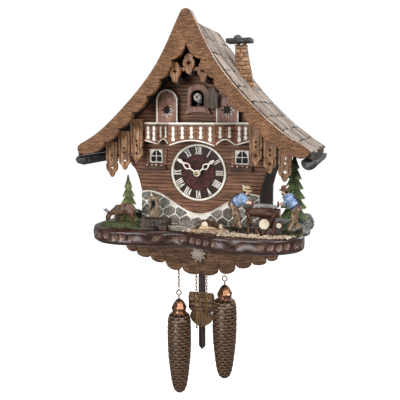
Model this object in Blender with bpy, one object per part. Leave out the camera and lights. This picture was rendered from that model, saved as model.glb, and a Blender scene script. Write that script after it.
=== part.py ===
"""Chalet cuckoo clock, built as separate wooden, metal and plastic pieces.

The drawing is in millimetres: x to the viewer's right, y = 0 on the wall and
negative towards the viewer, z up from the centre of the dial.  place() turns
it into metres and puts the origin at the wall contact point below the nail.
"""
import math

import bmesh
import bpy
from mathutils import Matrix, Vector

MM = 0.001
GAP = 0.3                 # clearance between two pieces that touch
MOUNT_ABOVE_DIAL = 130.0  # height of the wall contact point above the dial centre

# Case
BACK = 8.0                # thickness of the back panel
FACADE_Y = -111.0         # front of the log-plank facade
FACADE_BACK_Y = -103.0
WALL = 7.0                # thickness of the side walls
CASE_BOTTOM_Z = -74.7
CASE_HALF_WIDTH = 87.0

# Roof
ROOF_RIDGE_Z = 200.0
ROOF_SLOPE = 1.45
ROOF_CURVE = 0.0025
ROOF_HALF_WIDTH = 162.0
ROOF_FRONT_Y = -157.7
ROOF_BACK_Y = -2.0
ROOF_COURSES = 9
GABLE_FRONT_Y = -167.0
GABLE_BACK_Y = -158.0

# Dial and hands
DIAL_RADIUS = 40.0
DIAL_FRONT_Y = -114.0
ARBOR_HOLE = 4.6

# Landscape base
BASE_TOP_Z = -75.0
BASE_BOTTOM_Z = -97.0

# Things that hang
CHAIN_Y = -100.5
WEIGHT_X = 35.0
TAIL_X = 7.7
WEIGHT_TOP = {"left": -190.9, "right": -163.7}
WEIGHT_LENGTH = {"left": 147.2, "right": 142.0}
TAIL_END = {"left": -237.3, "right": -224.7}
CHAIN_TOP_Z = -68.0
HOOK_RISE = 10.0          # hook ring centre above the top of a weight
PENDULUM_X = -6.5
PENDULUM_Y = -76.3
PENDULUM_PIVOT_Z = -58.5

# Cuckoo and its door
OPENING_HALF_WIDTH = 9.3
OPENING_SILL_Z = 91.7
OPENING_TOP_Z = 113.4
DOOR_PIVOT = (11.6, -119.0, 102.5)
DOOR_OPEN_DEGREES = 155.0

SIDES = {"left": -1, "right": 1}

COLOURS = {                # base colour, roughness, metallic
    "gable_wood": ((0.30, 0.16, 0.08), 0.55, 0.0),
    "plank_wood": ((0.22, 0.11, 0.06), 0.6, 0.0),
    "dark_wood": ((0.07, 0.04, 0.03), 0.6, 0.0),
    "shingle": ((0.26, 0.21, 0.18), 0.8, 0.0),
    "base_wood": ((0.12, 0.04, 0.03), 0.25, 0.0),
    "trim_wood": ((0.24, 0.14, 0.08), 0.5, 0.0),
    "brick": ((0.45, 0.27, 0.16), 0.8, 0.0),
    "slate": ((0.08, 0.08, 0.08), 0.7, 0.0),
    "cream": ((0.80, 0.74, 0.64), 0.5, 0.0),
    "stone": ((0.30, 0.28, 0.25), 0.8, 0.0),
    "dial_face": ((0.05, 0.02, 0.02), 0.4, 0.0),
    "steel": ((0.55, 0.55, 0.55), 0.35, 1.0),
    "brass": ((0.65, 0.45, 0.20), 0.3, 1.0),
    "bronze": ((0.28, 0.16, 0.09), 0.4, 0.6),
    "black_plastic": ((0.03, 0.03, 0.03), 0.4, 0.0),
    "battery_wrap": ((0.10, 0.10, 0.12), 0.3, 0.3),
    "foliage": ((0.06, 0.16, 0.04), 0.8, 0.0),
    "deer_brown": ((0.18, 0.09, 0.06), 0.6, 0.0),
    "figure_cloth": ((0.20, 0.32, 0.55), 0.7, 0.0),
    "bird_white": ((0.85, 0.80, 0.76), 0.5, 0.0),
}


def clear_scene():
    for thing in list(bpy.data.objects):
        bpy.data.objects.remove(thing)


def material(name):
    """The Principled material of that name, made on first use."""
    found = bpy.data.materials.get(name)
    if found:
        return found
    colour, roughness, metallic = COLOURS[name]
    made = bpy.data.materials.new(name)
    made.use_nodes = True
    shader = made.node_tree.nodes["Principled BSDF"]
    shader.inputs["Base Color"].default_value = (*colour, 1.0)
    shader.inputs["Roughness"].default_value = roughness
    shader.inputs["Metallic"].default_value = metallic
    return made


def place(name, solid, finish, pivot=(0, 0, 0), turn=0.0, smooth=False):
    """Put a solid drawn in millimetres into the scene, its origin at pivot."""
    origin = Vector(pivot)
    solid.transform(Matrix.Scale(MM, 4) @ Matrix.Translation(-origin))
    mesh = bpy.data.meshes.new(name)
    solid.to_mesh(mesh)
    solid.free()
    mesh.materials.append(material(finish))
    if smooth:
        mesh.shade_smooth()
        mesh.set_sharp_from_angle(angle=math.radians(40))
    thing = bpy.data.objects.new(name, mesh)
    thing.location = (origin - Vector((0, 0, MOUNT_ABOVE_DIAL))) * MM
    thing.rotation_euler.z = turn
    bpy.context.collection.objects.link(thing)
    return thing


# ---------------------------------------------------------------- solids

def prism(outline, y_back, y_front):
    """Outline of (x, z) points, drawn out from y_back to y_front."""
    solid = bmesh.new()
    ring = [solid.verts.new((x, y_back, z)) for x, z in outline]
    face = solid.faces.new(ring)
    drawn = bmesh.ops.extrude_face_region(solid, geom=[face])
    moved = [v for v in drawn["geom"] if isinstance(v, bmesh.types.BMVert)]
    bmesh.ops.translate(solid, verts=moved, vec=(0, y_front - y_back, 0))
    bmesh.ops.recalc_face_normals(solid, faces=solid.faces)
    return solid


def box(x_pair, y_pair, z_pair):
    (x0, x1), (z0, z1) = x_pair, z_pair
    return prism([(x0, z0), (x1, z0), (x1, z1), (x0, z1)], *y_pair)


def rod(start, end, radius, end_radius=None, sides=10):
    """Round bar or cone from start to end."""
    start, end = Vector(start), Vector(end)
    run = end - start
    solid = bmesh.new()
    bmesh.ops.create_cone(
        solid, cap_ends=True, segments=sides, radius1=radius,
        radius2=radius if end_radius is None else end_radius, depth=run.length)
    turn = run.to_track_quat("Z", "Y").to_matrix().to_4x4()
    solid.transform(Matrix.Translation((start + end) / 2) @ turn)
    return solid


def ball(centre, radii, sides=10, tilt=0.0):
    """Ellipsoid; tilt in degrees turns it about the y axis."""
    solid = bmesh.new()
    bmesh.ops.create_uvsphere(solid, u_segments=sides, v_segments=max(5, sides // 2 + 1), radius=1.0)
    solid.transform(Matrix.Translation(centre)
                    @ Matrix.Rotation(math.radians(tilt), 4, "Y")
                    @ Matrix.Diagonal((*radii, 1.0)))
    return solid


def turned(profile, centre, axis="Z", sides=16):
    """Solid of revolution; profile is (radius, height) from one pole to the other."""
    solid = bmesh.new()
    rings = []
    for radius, height in profile:
        if radius == 0:
            rings.append([solid.verts.new((0, 0, height))])
            continue
        angles = [2 * math.pi * step / sides for step in range(sides)]
        rings.append([solid.verts.new((radius * math.cos(a), radius * math.sin(a), height))
                      for a in angles])
    for low, high in zip(rings, rings[1:]):
        for step in range(sides):
            after = (step + 1) % sides
            corners = [low[step % len(low)], low[after % len(low)],
                       high[after % len(high)], high[step % len(high)]]
            solid.faces.new(list(dict.fromkeys(corners)))
    for ring in (rings[0], rings[-1]):
        if len(ring) > 1:
            solid.faces.new(ring)
    bmesh.ops.recalc_face_normals(solid, faces=solid.faces)
    if axis == "Y":
        solid.transform(Matrix.Rotation(math.radians(90), 4, "X"))
    solid.transform(Matrix.Translation(centre))
    return solid


def pipe(outer, inner, y_back, y_front, sides=24, centre=(0, 0)):
    """Ring or tube along y."""
    solid = bmesh.new()
    rings = []
    for radius, y in ((outer, y_back), (outer, y_front), (inner, y_front), (inner, y_back)):
        rings.append([solid.verts.new((centre[0] + radius * math.cos(2 * math.pi * s / sides), y,
                                       centre[1] + radius * math.sin(2 * math.pi * s / sides)))
                      for s in range(sides)])
    for here, there in zip(rings, rings[1:] + rings[:1]):
        for step in range(sides):
            after = (step + 1) % sides
            solid.faces.new((here[step], here[after], there[after], there[step]))
    bmesh.ops.recalc_face_normals(solid, faces=solid.faces)
    return solid


def ring_of(centre, ring_radius, wire, sides=12):
    """A wire ring that stands in the x-z plane."""
    solid = bmesh.new()
    loops = []
    for step in range(sides):
        a = 2 * math.pi * step / sides
        loops.append([solid.verts.new((
            centre[0] + (ring_radius + wire * math.cos(b)) * math.cos(a),
            centre[1] + wire * math.sin(b),
            centre[2] + (ring_radius + wire * math.cos(b)) * math.sin(a)))
            for b in [2 * math.pi * t / 6 for t in range(6)]])
    for here, there in zip(loops, loops[1:] + loops[:1]):
        for t in range(6):
            solid.faces.new((here[t], here[(t + 1) % 6], there[(t + 1) % 6], there[t]))
    bmesh.ops.recalc_face_normals(solid, faces=solid.faces)
    return solid


def combine(solid, tools, operation):
    """Exact boolean of a solid with each tool in turn."""
    def temporary(drawn):
        mesh = bpy.data.meshes.new("temporary")
        drawn.to_mesh(mesh)
        drawn.free()
        thing = bpy.data.objects.new("temporary", mesh)
        bpy.context.collection.objects.link(thing)
        return thing

    base = temporary(solid)
    helpers = [temporary(tool) for tool in tools]
    for helper in helpers:
        modifier = base.modifiers.new("boolean", "BOOLEAN")
        modifier.operation = operation
        modifier.object = helper
    evaluated = base.evaluated_get(bpy.context.evaluated_depsgraph_get())
    result = bmesh.new()
    result.from_mesh(evaluated.to_mesh())
    bmesh.ops.recalc_face_normals(result, faces=result.faces)
    for thing in [base, *helpers]:
        bpy.data.objects.remove(thing)
    return result


def fuse(first, *rest):
    return combine(first, rest, "UNION")


def cut(solid, *tools):
    return combine(solid, tools, "DIFFERENCE")


# ---------------------------------------------------------------- outlines

def smooth_line(points, steps=4):
    """Catmull-Rom curve through open points."""
    ends = [points[0], *points, points[-1]]
    curve = []
    for before, start, end, after in zip(ends, ends[1:], ends[2:], ends[3:]):
        for step in range(steps):
            t = step / steps
            curve.append(tuple(
                0.5 * (2 * s + (e - b) * t + (2 * b - 5 * s + 4 * e - a) * t * t
                       + (3 * s - b - 3 * e + a) * t ** 3)
                for b, s, e, a in zip(before, start, end, after)))
    return curve + [points[-1]]


def smooth_loop(points, steps=4):
    """Catmull-Rom curve through closed points."""
    wrapped = [points[-1], *points, points[0], points[1]]
    curve = smooth_line(wrapped, steps)
    return curve[steps:-1 - steps]


def arc(centre, radius, start, end, steps):
    """Points of an arc, angles in degrees from +x towards +z."""
    return [(centre[0] + radius * math.cos(math.radians(start + (end - start) * s / steps)),
             centre[1] + radius * math.sin(math.radians(start + (end - start) * s / steps)))
            for s in range(steps + 1)]


def mirrored(half):
    """Close a right-hand half outline with its mirror image."""
    other = [(-x, z) for x, z in reversed(half) if abs(x) > 1e-6]
    return half + other


def arch(half_width, sill, top, steps=8, centre_x=0.0):
    """Door outline with a round head."""
    spring = top - half_width
    return ([(centre_x - half_width, sill), (centre_x + half_width, sill)]
            + arc((centre_x, spring), half_width, 0, 180, steps))


def diamond(x, z, size):
    return [(x - size, z), (x, z - size * 1.25), (x + size, z), (x, z + size * 1.25)]


def roof_top(x):
    """Height of the roof surface at a distance from the ridge."""
    return ROOF_RIDGE_Z - ROOF_SLOPE * x + ROOF_CURVE * x * x


def roof_under(x):
    return roof_top(x) - 16.0 + 9.0 * x / ROOF_HALF_WIDTH


def stone_edge(x):
    """Upper edge of the rubble stone wall."""
    return -43.0 - 15.5 * math.cos(math.pi * x / 75.0)


def apron_lean(z):
    """How far the leaf trim has leant back at a height."""
    return 6.0 * max(0.0, (BASE_BOTTOM_Z - z)) / 50.0


# ---------------------------------------------------------------- case

CASE_FLARE = [(CASE_HALF_WIDTH, CASE_BOTTOM_Z), (CASE_HALF_WIDTH, -28.0), (91.0, -12.0),
              (96.0, 2.0), (104.0, 10.0)]


def case_outline(top_x, gap=0.6):
    """Half outline of facade and back: foot, flare, then up under the roof to top_x."""
    steps = 5
    under = [(104.0 + (top_x - 104.0) * s / steps) for s in range(steps + 1)]
    return [(0.0, CASE_BOTTOM_Z), *CASE_FLARE, *[(x, roof_under(x) - gap) for x in under]]


def back_panel():
    half = case_outline(4.0)
    panel = prism(mirrored(half + [(0.0, roof_under(4.0) - 0.6)]), 0.0, -BACK)
    doorway = box((-52, 52), (2, -BACK - 2), (-62, 64))
    nail_hole = rod((0, 3, 152), (0, -BACK - 3, 152), 4.5, sides=12)
    place("back_panel", cut(panel, doorway, nail_hole), "plank_wood")
    plate = cut(prism([(-12, 136), (12, 136), (12, 164), (-12, 164)], -BACK - GAP, -BACK - 1.8),
                rod((0, -5, 152), (0, -15, 152), 3.0, sides=12))
    place("hanger_plate", plate, "steel")
    door = fuse(box((-51.5, 51.5), (-0.6, -7.0), (-61.5, 63.5)),
                rod((44, -5, 0), (44, -13, 0), 3.0, sides=10))
    place("back_door", door, "plank_wood", pivot=(-51.6, 0, 0))


def side_walls():
    outer = [*CASE_FLARE, (104.0, roof_under(104.0) - 0.6)]
    inner = [(x - WALL, z) for x, z in reversed(outer)]
    inner[0] = (104.0 - WALL, roof_under(104.0) - 0.6)
    for side, sign in SIDES.items():
        outline = [(sign * x, z) for x, z in outer + inner]
        place(f"side_wall_{side}", prism(outline, -BACK - GAP, FACADE_BACK_Y + GAP), "plank_wood")


def facade():
    half = case_outline(38.0)
    board = prism(mirrored(half + [(0.0, roof_under(38.0) - 0.6)]), FACADE_BACK_Y, FACADE_Y)
    opening = prism(arch(OPENING_HALF_WIDTH, OPENING_SILL_Z, OPENING_TOP_Z), -90, -120)
    arbor_hole = rod((0, -90, 0), (0, -120, 0), ARBOR_HOLE, sides=16)
    place("facade", cut(board, opening, arbor_hole), "plank_wood")


def stone_wall():
    edge = [(x, stone_edge(x)) for x in range(0, 85, 6)]
    half = [(0.0, CASE_BOTTOM_Z), (86.5, CASE_BOTTOM_Z), (86.5, -29.5), *reversed(edge)]
    place("stone_wall", prism(mirrored(half), FACADE_Y - GAP, FACADE_Y - 3.4), "stone")


def gable():
    outer = smooth_line([(0, 213.7), (5.5, 211.5), (9.5, 205), (17, 190), (27.5, 169), (43, 143),
                         (63.5, 117), (86.5, 93), (111, 70), (133, 53), (153, 42)], 2)
    tip = [(159, 37), (156, 29), (149, 26.5), (141, 27.5)]
    cusps = [(141, 27.5), (116.6, 43.1), (95.5, 61.6), (74.5, 82.5), (53.8, 103.6),
             (35.5, 125.0), (18.6, 149.9)]
    inner = []
    for (x0, z0), (x1, z1) in zip(cusps, cusps[1:]):
        run = math.hypot(x1 - x0, z1 - z0)
        for part in (0.25, 0.5, 0.75):
            bulge = 3.6 * math.sin(math.pi * part)
            inner.append((x0 + (x1 - x0) * part - bulge * (z1 - z0) / run,
                          z0 + (z1 - z0) * part + bulge * (x1 - x0) / run))
        inner.append((x1, z1))
    ogee = [(12.5, 153.5), (6.5, 158.5), (2.6, 164), (0, 170.5)]
    place("gable_board", prism(mirrored(outer + tip + inner + ogee), GABLE_BACK_Y, GABLE_FRONT_Y),
          "gable_wood")


def roofs():
    """Two curved roof halves whose top surface steps down in shingle courses."""
    courses = [ROOF_HALF_WIDTH * (k / ROOF_COURSES) ** 1.08 for k in range(ROOF_COURSES + 1)]
    top = []
    for k, (x0, x1) in enumerate(zip(courses, courses[1:])):
        top += [(max(x0, GAP / 2), roof_top(x0) - 1.0), (x1, roof_top(x1) + 1.0)]
    under = [(x, roof_under(x)) for x in [ROOF_HALF_WIDTH * s / 8 for s in range(8, 0, -1)]]
    outline = top + under + [(GAP / 2, roof_under(0))]
    for side, sign in SIDES.items():
        place(f"roof_{side}", prism([(sign * x, z) for x, z in outline], ROOF_BACK_Y, ROOF_FRONT_Y),
              "shingle")


def gutters():
    """Half-round log under each eave, with a smaller nose in front."""
    for side, sign in SIDES.items():
        log = arc((157.0, 21.0), 10.0, -200, 20, 10)
        top = roof_under(157.0) - 4.0
        outline = [(sign * x, min(z, top)) for x, z in log]
        nose = [(sign * x, min(z, top - 1)) for x, z in arc((157.0, 20.0), 7.0, -190, 10, 8)]
        place(f"eave_log_{side}", fuse(prism(outline, -4.0, -154.0), prism(nose, -150.0, -166.0)),
              "slate")


def chimney():
    """Brick stack that flares towards the roof, square in plan."""
    def width_at(t):
        return 7.6 + 6.2 * (1 - t) ** 1.1
    left_x, depth, steps = 43.0, (-64.0, -79.0), 6
    heights = [112.0 + (176.0 - 112.0) * s / steps for s in range(steps + 1)]
    sides_z = [(left_x + 2 * width_at(s / steps), z) for s, z in enumerate(heights)]
    foot_x = sides_z[0][0]
    outline = ([(left_x, roof_top(left_x) + 1.5), (foot_x, roof_top(foot_x) + 1.5)]
               + sides_z[1:] + [(left_x, 176.0)])
    place("chimney", prism(outline, *depth), "brick")
    centre = (left_x + width_at(1) - 2.0, -71.5)
    cap = box((centre[0] - 18, centre[0] + 18), (centre[1] + 11, centre[1] - 11), (179.0, 185.0))
    legs = [box((x - 1.5, x + 1.5), (y + 1.5, y - 1.5), (176.0 + GAP, 180.0))
            for x in (46.5, 55.5) for y in (-67.5, -75.5)]
    dome = ball((centre[0] - 3, centre[1], 185.0), (5.5, 5.5, 5.5))
    place("chimney_cap", fuse(cap, dome, *legs), "slate")


def hanging_boards():
    """Pointed boards with diamond holes, under the gable apex and the eaves."""
    def board(x, tip, right_edge, y_back, y_front):
        outline = ([(x + dx, tip + dz) for dx, dz in right_edge]
                   + [(x - dx, tip + dz) for dx, dz in reversed(right_edge)])
        return cut(prism(outline, y_back, y_front),
                   prism(diamond(x, tip + 14, 2.6), y_back + 2, y_front - 2))

    leaf = [(3, 0), (6.6, 8), (8.2, 14), (6.8, 19), (5.4, 23), (2.6, 26)]
    batten = box((-24, 26), (-147, -150.3), (137, 142))
    boards = [board(0, 133, leaf, -150, -155)]
    boards += [board(sign * 19.5, 122.5, leaf, -150, -155) for sign in (-1, 1)]
    place("apex_boards", fuse(batten, *boards), "gable_wood")

    places = ((123.7, -7.5), (103.8, 3.2), (84.9, 13.6))
    for side, sign in SIDES.items():
        boards = []
        for x, tip in places:
            top = roof_under(x + 9.5) - 0.6 - tip
            boards.append(board(sign * x, tip, [(3, 0), (8.6, 13), (8.6, top)], -128, -133))
        lower, upper = sorted((sign * 78, sign * 130))
        batten = box((lower, upper), (-123, -128.3), (38, 43))
        place(f"eave_boards_{side}", fuse(batten, *boards), "gable_wood")


def balcony():
    """Five-sided balcony front; each side's lower edge is a shallow arch."""
    corners = [(75.0, -126.2), (55.7, -126.2), (32.3, -145.6)]
    front = [(-x, y) for x, y in corners] + corners[::-1]
    sill = [44.4, 39.1, 38.6, 38.6, 39.1, 44.4]
    rise = [0.0, 8.0, 7.0, 8.0, 0.0]
    solid = bmesh.new()
    sections = []
    for n in range(5):
        (x0, y0), (x1, y1) = front[n], front[n + 1]
        steps = 1 if rise[n] == 0 else 6
        for s in range(steps + (1 if n == 4 else 0)):
            t = s / steps
            low = sill[n] + (sill[n + 1] - sill[n]) * t + rise[n] * math.sin(math.pi * t)
            x, y = x0 + (x1 - x0) * t, y0 + (y1 - y0) * t
            sections.append([solid.verts.new(p) for p in (
                (x, y, low), (x, y, 70.0), (x, y + 3.5, 70.0), (x, y + 3.5, low))])
    for here, there in zip(sections, sections[1:]):
        for k in range(4):
            solid.faces.new((here[k], here[(k + 1) % 4], there[(k + 1) % 4], there[k]))
    solid.faces.new(sections[0])
    solid.faces.new(sections[-1])
    bmesh.ops.recalc_face_normals(solid, faces=solid.faces)
    place("balcony_front", solid, "trim_wood")

    edge = [(74.5, FACADE_Y - GAP), (74.5, -122.3), (54.5, -122.3), (31.5, -141.7)]
    outline = edge + [(-x, y) for x, y in reversed(edge)]
    floor = prism(outline, 48.5, 51.5)
    floor.transform(Matrix(((1, 0, 0, 0), (0, 0, 1, 0), (0, 1, 0, 0), (0, 0, 0, 1))))
    bmesh.ops.recalc_face_normals(floor, faces=floor.faces)
    place("balcony_floor", floor, "dark_wood")

    for side, sign in SIDES.items():
        x = sign * 43.3
        panel = fuse(prism(arch(15.7, 51.8, 115.0, 10, x), -117.6, -121.6),
                     prism(arch(12.0, 51.8 + 2, 108.0, 8, x), FACADE_Y - GAP, -118.0))
        star = [(x + r * math.cos(math.radians(22.5 * k)), 86.1 + r * math.sin(math.radians(22.5 * k)))
                for k, r in ((k, 8.0 if k % 2 == 0 else 3.0) for k in range(16))]
        place(f"balcony_door_{side}", cut(panel, prism(star, -119.6, -125.0)), "trim_wood")


def cuckoo_group():
    frame = prism(mirrored([(0, 83.0), (9, 82.4), (18.5, 80.5), (18.5, 83.0), (15, 86.0),
                            (14.6, 112), (11, 118.5), (5, 121.5), (0, 122)]), FACADE_Y - GAP, -117.5)
    opening = prism(arch(OPENING_HALF_WIDTH, OPENING_SILL_Z, OPENING_TOP_Z), -100, -125)
    place("cuckoo_frame", cut(frame, opening), "trim_wood")

    x, y, z = DOOR_PIVOT
    leaf = prism(arch(11.4, z - 13.5, z + 13.5, 10, x - 11.5), y + 1.0, y - 1.0)
    place("cuckoo_door", leaf, "trim_wood", pivot=DOOR_PIVOT, turn=math.radians(DOOR_OPEN_DEGREES))

    bird = fuse(ball((0.5, -117.0, 104.5), (5.2, 5.2, 5.2), 12),
                ball((0.2, -107.5, 99.6), (5.6, 10.0, 5.2), 12, 0),
                rod((0.5, -121.0, 104.2), (0.5, -127.5, 103.4), 1.9, 0.4, 8),
                rod((0, -100.0, 100.5), (0, -88.0, 103.5), 3.0, 1.2, 8))
    place("cuckoo_bird", bird, "bird_white", smooth=True)
    slide = fuse(box((-2.2, 2.2), (-46.0, -112.0), (92.4, 94.0)),
                 box((-6.0, 6.0), (-44.0, -56.0), (90.0, 95.0)))
    place("cuckoo_slide", slide, "black_plastic")


def windows():
    for side, sign in SIDES.items():
        x = sign * 62.4
        back = FACADE_Y - GAP
        window = fuse(box((x - 15.5, x + 15.5), (back, -112.4), (9.5, 32.5)),
                      box((x - 8.6, x + 8.6), (-112.0, -114.4), (10.8, 31.0)),
                      box((x - 15.0, x + 15.0), (-111.8, -118.5), (3.0, 9.9)))
        place(f"window_{side}", window, "dark_wood")


def dial_group():
    disc = pipe(DIAL_RADIUS - 3.0, ARBOR_HOLE, FACADE_Y - GAP, -113.4, 40)
    place("dial", disc, "dial_face")
    place("dial_ring", pipe(DIAL_RADIUS, DIAL_RADIUS - 2.7, FACADE_Y - GAP, DIAL_FRONT_Y - 0.6, 40),
          "cream")

    def hand(length, degrees, y_back, y_front, hole, hub=4.5):
        """Pierced hand: round hub, waist, loop and spear point, cut by the arbor hole."""
        blade = [(-1.2, 3.5), (-1.0, length * 0.3), (-4.2, length * 0.45), (-3.2, length * 0.62),
                 (-1.0, length * 0.72), (-2.6, length * 0.82), (0, length),
                 (2.6, length * 0.82), (1.0, length * 0.72), (3.2, length * 0.62),
                 (4.2, length * 0.45), (1.0, length * 0.3), (1.2, 3.5)]
        drawn = fuse(prism(blade, y_back, y_front), pipe(hub, hole, y_back, y_front, 16))
        return rotated(drawn, degrees)

    def rotated(drawn, degrees):
        drawn.transform(Matrix.Rotation(math.radians(degrees), 4, "Y"))
        return drawn

    hour = fuse(hand(31.0, 53.0, -118.6, -120.0, 2.0), pipe(3.6, 2.0, -112.0, -118.9, 16))
    place("hour_hand", hour, "cream")
    minute = fuse(hand(35.5, -55.0, -121.6, -123.0, 1.0), rod((0, -104.0, 0), (0, -122.6, 0), 1.6, sides=12))
    place("minute_hand", minute, "cream")
    place("hand_nut", turned([(2.6, 0), (2.6, 1.4), (1.0, 2.2)], (0, -123.3, 0), "Y", 12), "brass")


# ---------------------------------------------------------------- landscape

def base():
    """Carved plank with a rounded front, cut through below the case."""
    plan = smooth_loop([(-149, -100), (-151, -142), (-136, -166), (-113, -177), (-62, -176),
                        (-28, -167), (0, -168), (40, -184), (75, -184), (110, -184), (137, -171),
                        (153, -147), (149, -105), (141, -50), (124, -9), (-124, -9), (-142, -55)], 3)
    levels = ((BASE_TOP_Z, 4.0), (BASE_TOP_Z - 3.5, 1.0), (BASE_TOP_Z - 10, 0.0),
              (BASE_BOTTOM_Z + 6, 2.5), (BASE_BOTTOM_Z, 9.0))
    centre = Vector((2.0, -95.0))
    solid = bmesh.new()
    rings = []
    for z, inset in levels:
        ring = []
        for x, y in plan:
            away = Vector((x, y)) - centre
            at = centre + away * (1 - inset / away.length)
            ring.append(solid.verts.new((at.x, min(at.y, -9.0), z)))
        rings.append(ring)
    for high, low in zip(rings, rings[1:]):
        for k in range(len(plan)):
            after = (k + 1) % len(plan)
            solid.faces.new((high[k], high[after], low[after], low[k]))
    solid.faces.new(rings[0])
    solid.faces.new(rings[-1])
    bmesh.ops.recalc_face_normals(solid, faces=solid.faces)
    slot = box((-48, 48), (-66, -103.5), (-60, -120))
    boulders = [ball((142, -70, -72), (15, 22, 14), 10), ball((134, -100, -75), (18, 20, 9), 10),
                ball((-126, -60, -76), (20, 24, 9), 10)]
    place("landscape_base", fuse(cut(solid, slot), *boulders), "base_wood")


def apron():
    notches = [(0, -139.5), (27.1, -136.4), (52.3, -127.6), (75.5, -123.2), (96.9, -119.9),
               (113.1, -111.3)]
    lows = [(13.5, -150.0), (38.3, -145.5), (61.0, -135.4), (83.8, -128.8), (104.1, -121.3)]
    half = [(0, BASE_BOTTOM_Z - GAP)] + [(114.5, BASE_BOTTOM_Z - GAP), (116, -104)]
    for (inner, outer, low) in reversed(list(zip(notches, notches[1:], lows))):
        half += [outer, (outer[0] - 3.0, (outer[1] + low[1]) / 2 - 1), (low[0] + 4.5, low[1]),
                 (low[0] - 4.5, low[1]), (inner[0] + 3.0, (inner[1] + low[1]) / 2 - 1)]
    half += [notches[0]]
    board = prism(mirrored(half), -109.5, -114.0)
    for vert in board.verts:
        vert.co.y += apron_lean(vert.co.z)
    place("leaf_apron", board, "trim_wood")

    points = []
    for k in range(18):
        r = 11.5 if k % 2 == 0 else 4.2
        points.append((r * math.sin(math.radians(20 * k)), -117 + r * math.cos(math.radians(20 * k))))
    place("edelweiss", prism(points, -114.3, -117.5), "trim_wood")


def tree(name, centre, top, base_z, radius, tiers):
    """Fir with stacked skirts of branches."""
    height = top - base_z
    profile = [(0, 0), (2.4, 0), (2.4, height * 0.10)]
    for k in range(tiers):
        low = 0.10 + 0.84 * k / tiers
        size = radius * (1 - 0.82 * k / tiers)
        profile += [(size, height * (low + 0.02)), (size * 0.45, height * (low + 0.84 / tiers))]
    profile += [(0, height)]
    place(name, turned(profile, (*centre, base_z), sides=12), "foliage")


def deer():
    x, y, ground = -106.0, -144.0, BASE_TOP_Z + GAP
    mound = ball((x - 1, y, ground - 2), (30, 14, 7), 12)
    floor = box((x - 40, x + 40), (y + 20, y - 20), (ground - 20, ground))
    body = fuse(cut(mound, floor),
                ball((x + 6, y, -51.3), (13.5, 6, 8), 12, -14),
                ball((x + 15, y, -54), (7.5, 5.8, 8.5), 10),
                rod((x - 3, y, -53), (x - 17, y, -60), 5.0, 3.4, 10),
                ball((x - 19, y, -64), (4.2, 3.4, 8.0), 10, 25),
                rod((x - 18, y - 1, -60), (x - 26, y - 2, -51.5), 1.6, 0.5, 6),
                rod((x - 5, y - 3, -55), (x - 8, y - 3, -74), 2.4, 1.8, 8),
                rod((x - 3, y + 3, -55), (x - 2, y + 3, -74), 2.4, 1.8, 8),
                rod((x + 16, y - 3, -58), (x + 19, y - 3, -74), 3.0, 1.9, 8),
                rod((x + 17, y + 3, -58), (x + 14, y + 3, -74), 3.0, 1.9, 8))
    place("deer", body, "deer_brown", smooth=True)


def trough():
    ground = BASE_TOP_Z + GAP
    tub = box((-70, -31), (-141, -163), (ground, -61.5))
    hollow = box((-66, -35), (-145, -159), (-69, -55))
    post = box((-65, -51), (-133, -140.5), (ground, -32))
    foot = box((-68, -46), (-134, -142), (ground, -70))
    spout = rod((-58, -138, -46), (-58, -150, -49), 1.8, sides=8)
    place("water_trough", fuse(cut(tub, hollow), foot, post, spout), "base_wood")


def sawing_place():
    """Sawbuck with the log that is being sawn, a stacked log, and the wood pile in front."""
    y, ground = -150.0, BASE_TOP_Z + GAP
    log = rod((76.5, y, -46), (122, y, -46), 6.0, sides=12)
    parts = []
    for x in (80.5, 113.0):
        for lean in (-1, 1):
            parts.append(rod((x + lean, y - 11 * lean, ground + 1.5), (x + lean, y + 7 * lean, -40), 2.0, sides=6))
        parts.append(box((x - 4, x + 4), (y + 13, y - 13), (ground, ground + 3)))
    rail = box((78, 116), (y + 2, y - 2), (ground, ground + 2.5))
    block = rod((103, -140, -59), (103, -164, -59), 7.8, sides=14)
    small = rod((121, -142, -61), (121, -158, -61), 4.0, sides=10)
    bed = box((95, 125), (-143, -157), (ground, -62))
    place("sawbuck_with_logs", fuse(log, *parts, rail, block, bed, small), "base_wood")

    pile = fuse(rod((14, -140, -65), (44, -158, -66), 4.2, sides=10),
                rod((20, -138, -66), (20, -152, -66), 5.2, sides=12),
                box((12, 46), (-139, -158), (ground, -68)),
                box((6, 36), (-158, -163), (ground, -71)))
    place("wood_pile", pile, "base_wood")


SAW_Z = -37.5
FIGURE_Y = -150.0
FIGURE_FEET = {"left": (64.0, FIGURE_Y, BASE_TOP_Z + 1.2), "right": (139.0, FIGURE_Y + 4, BASE_TOP_Z + 1.2)}


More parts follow.
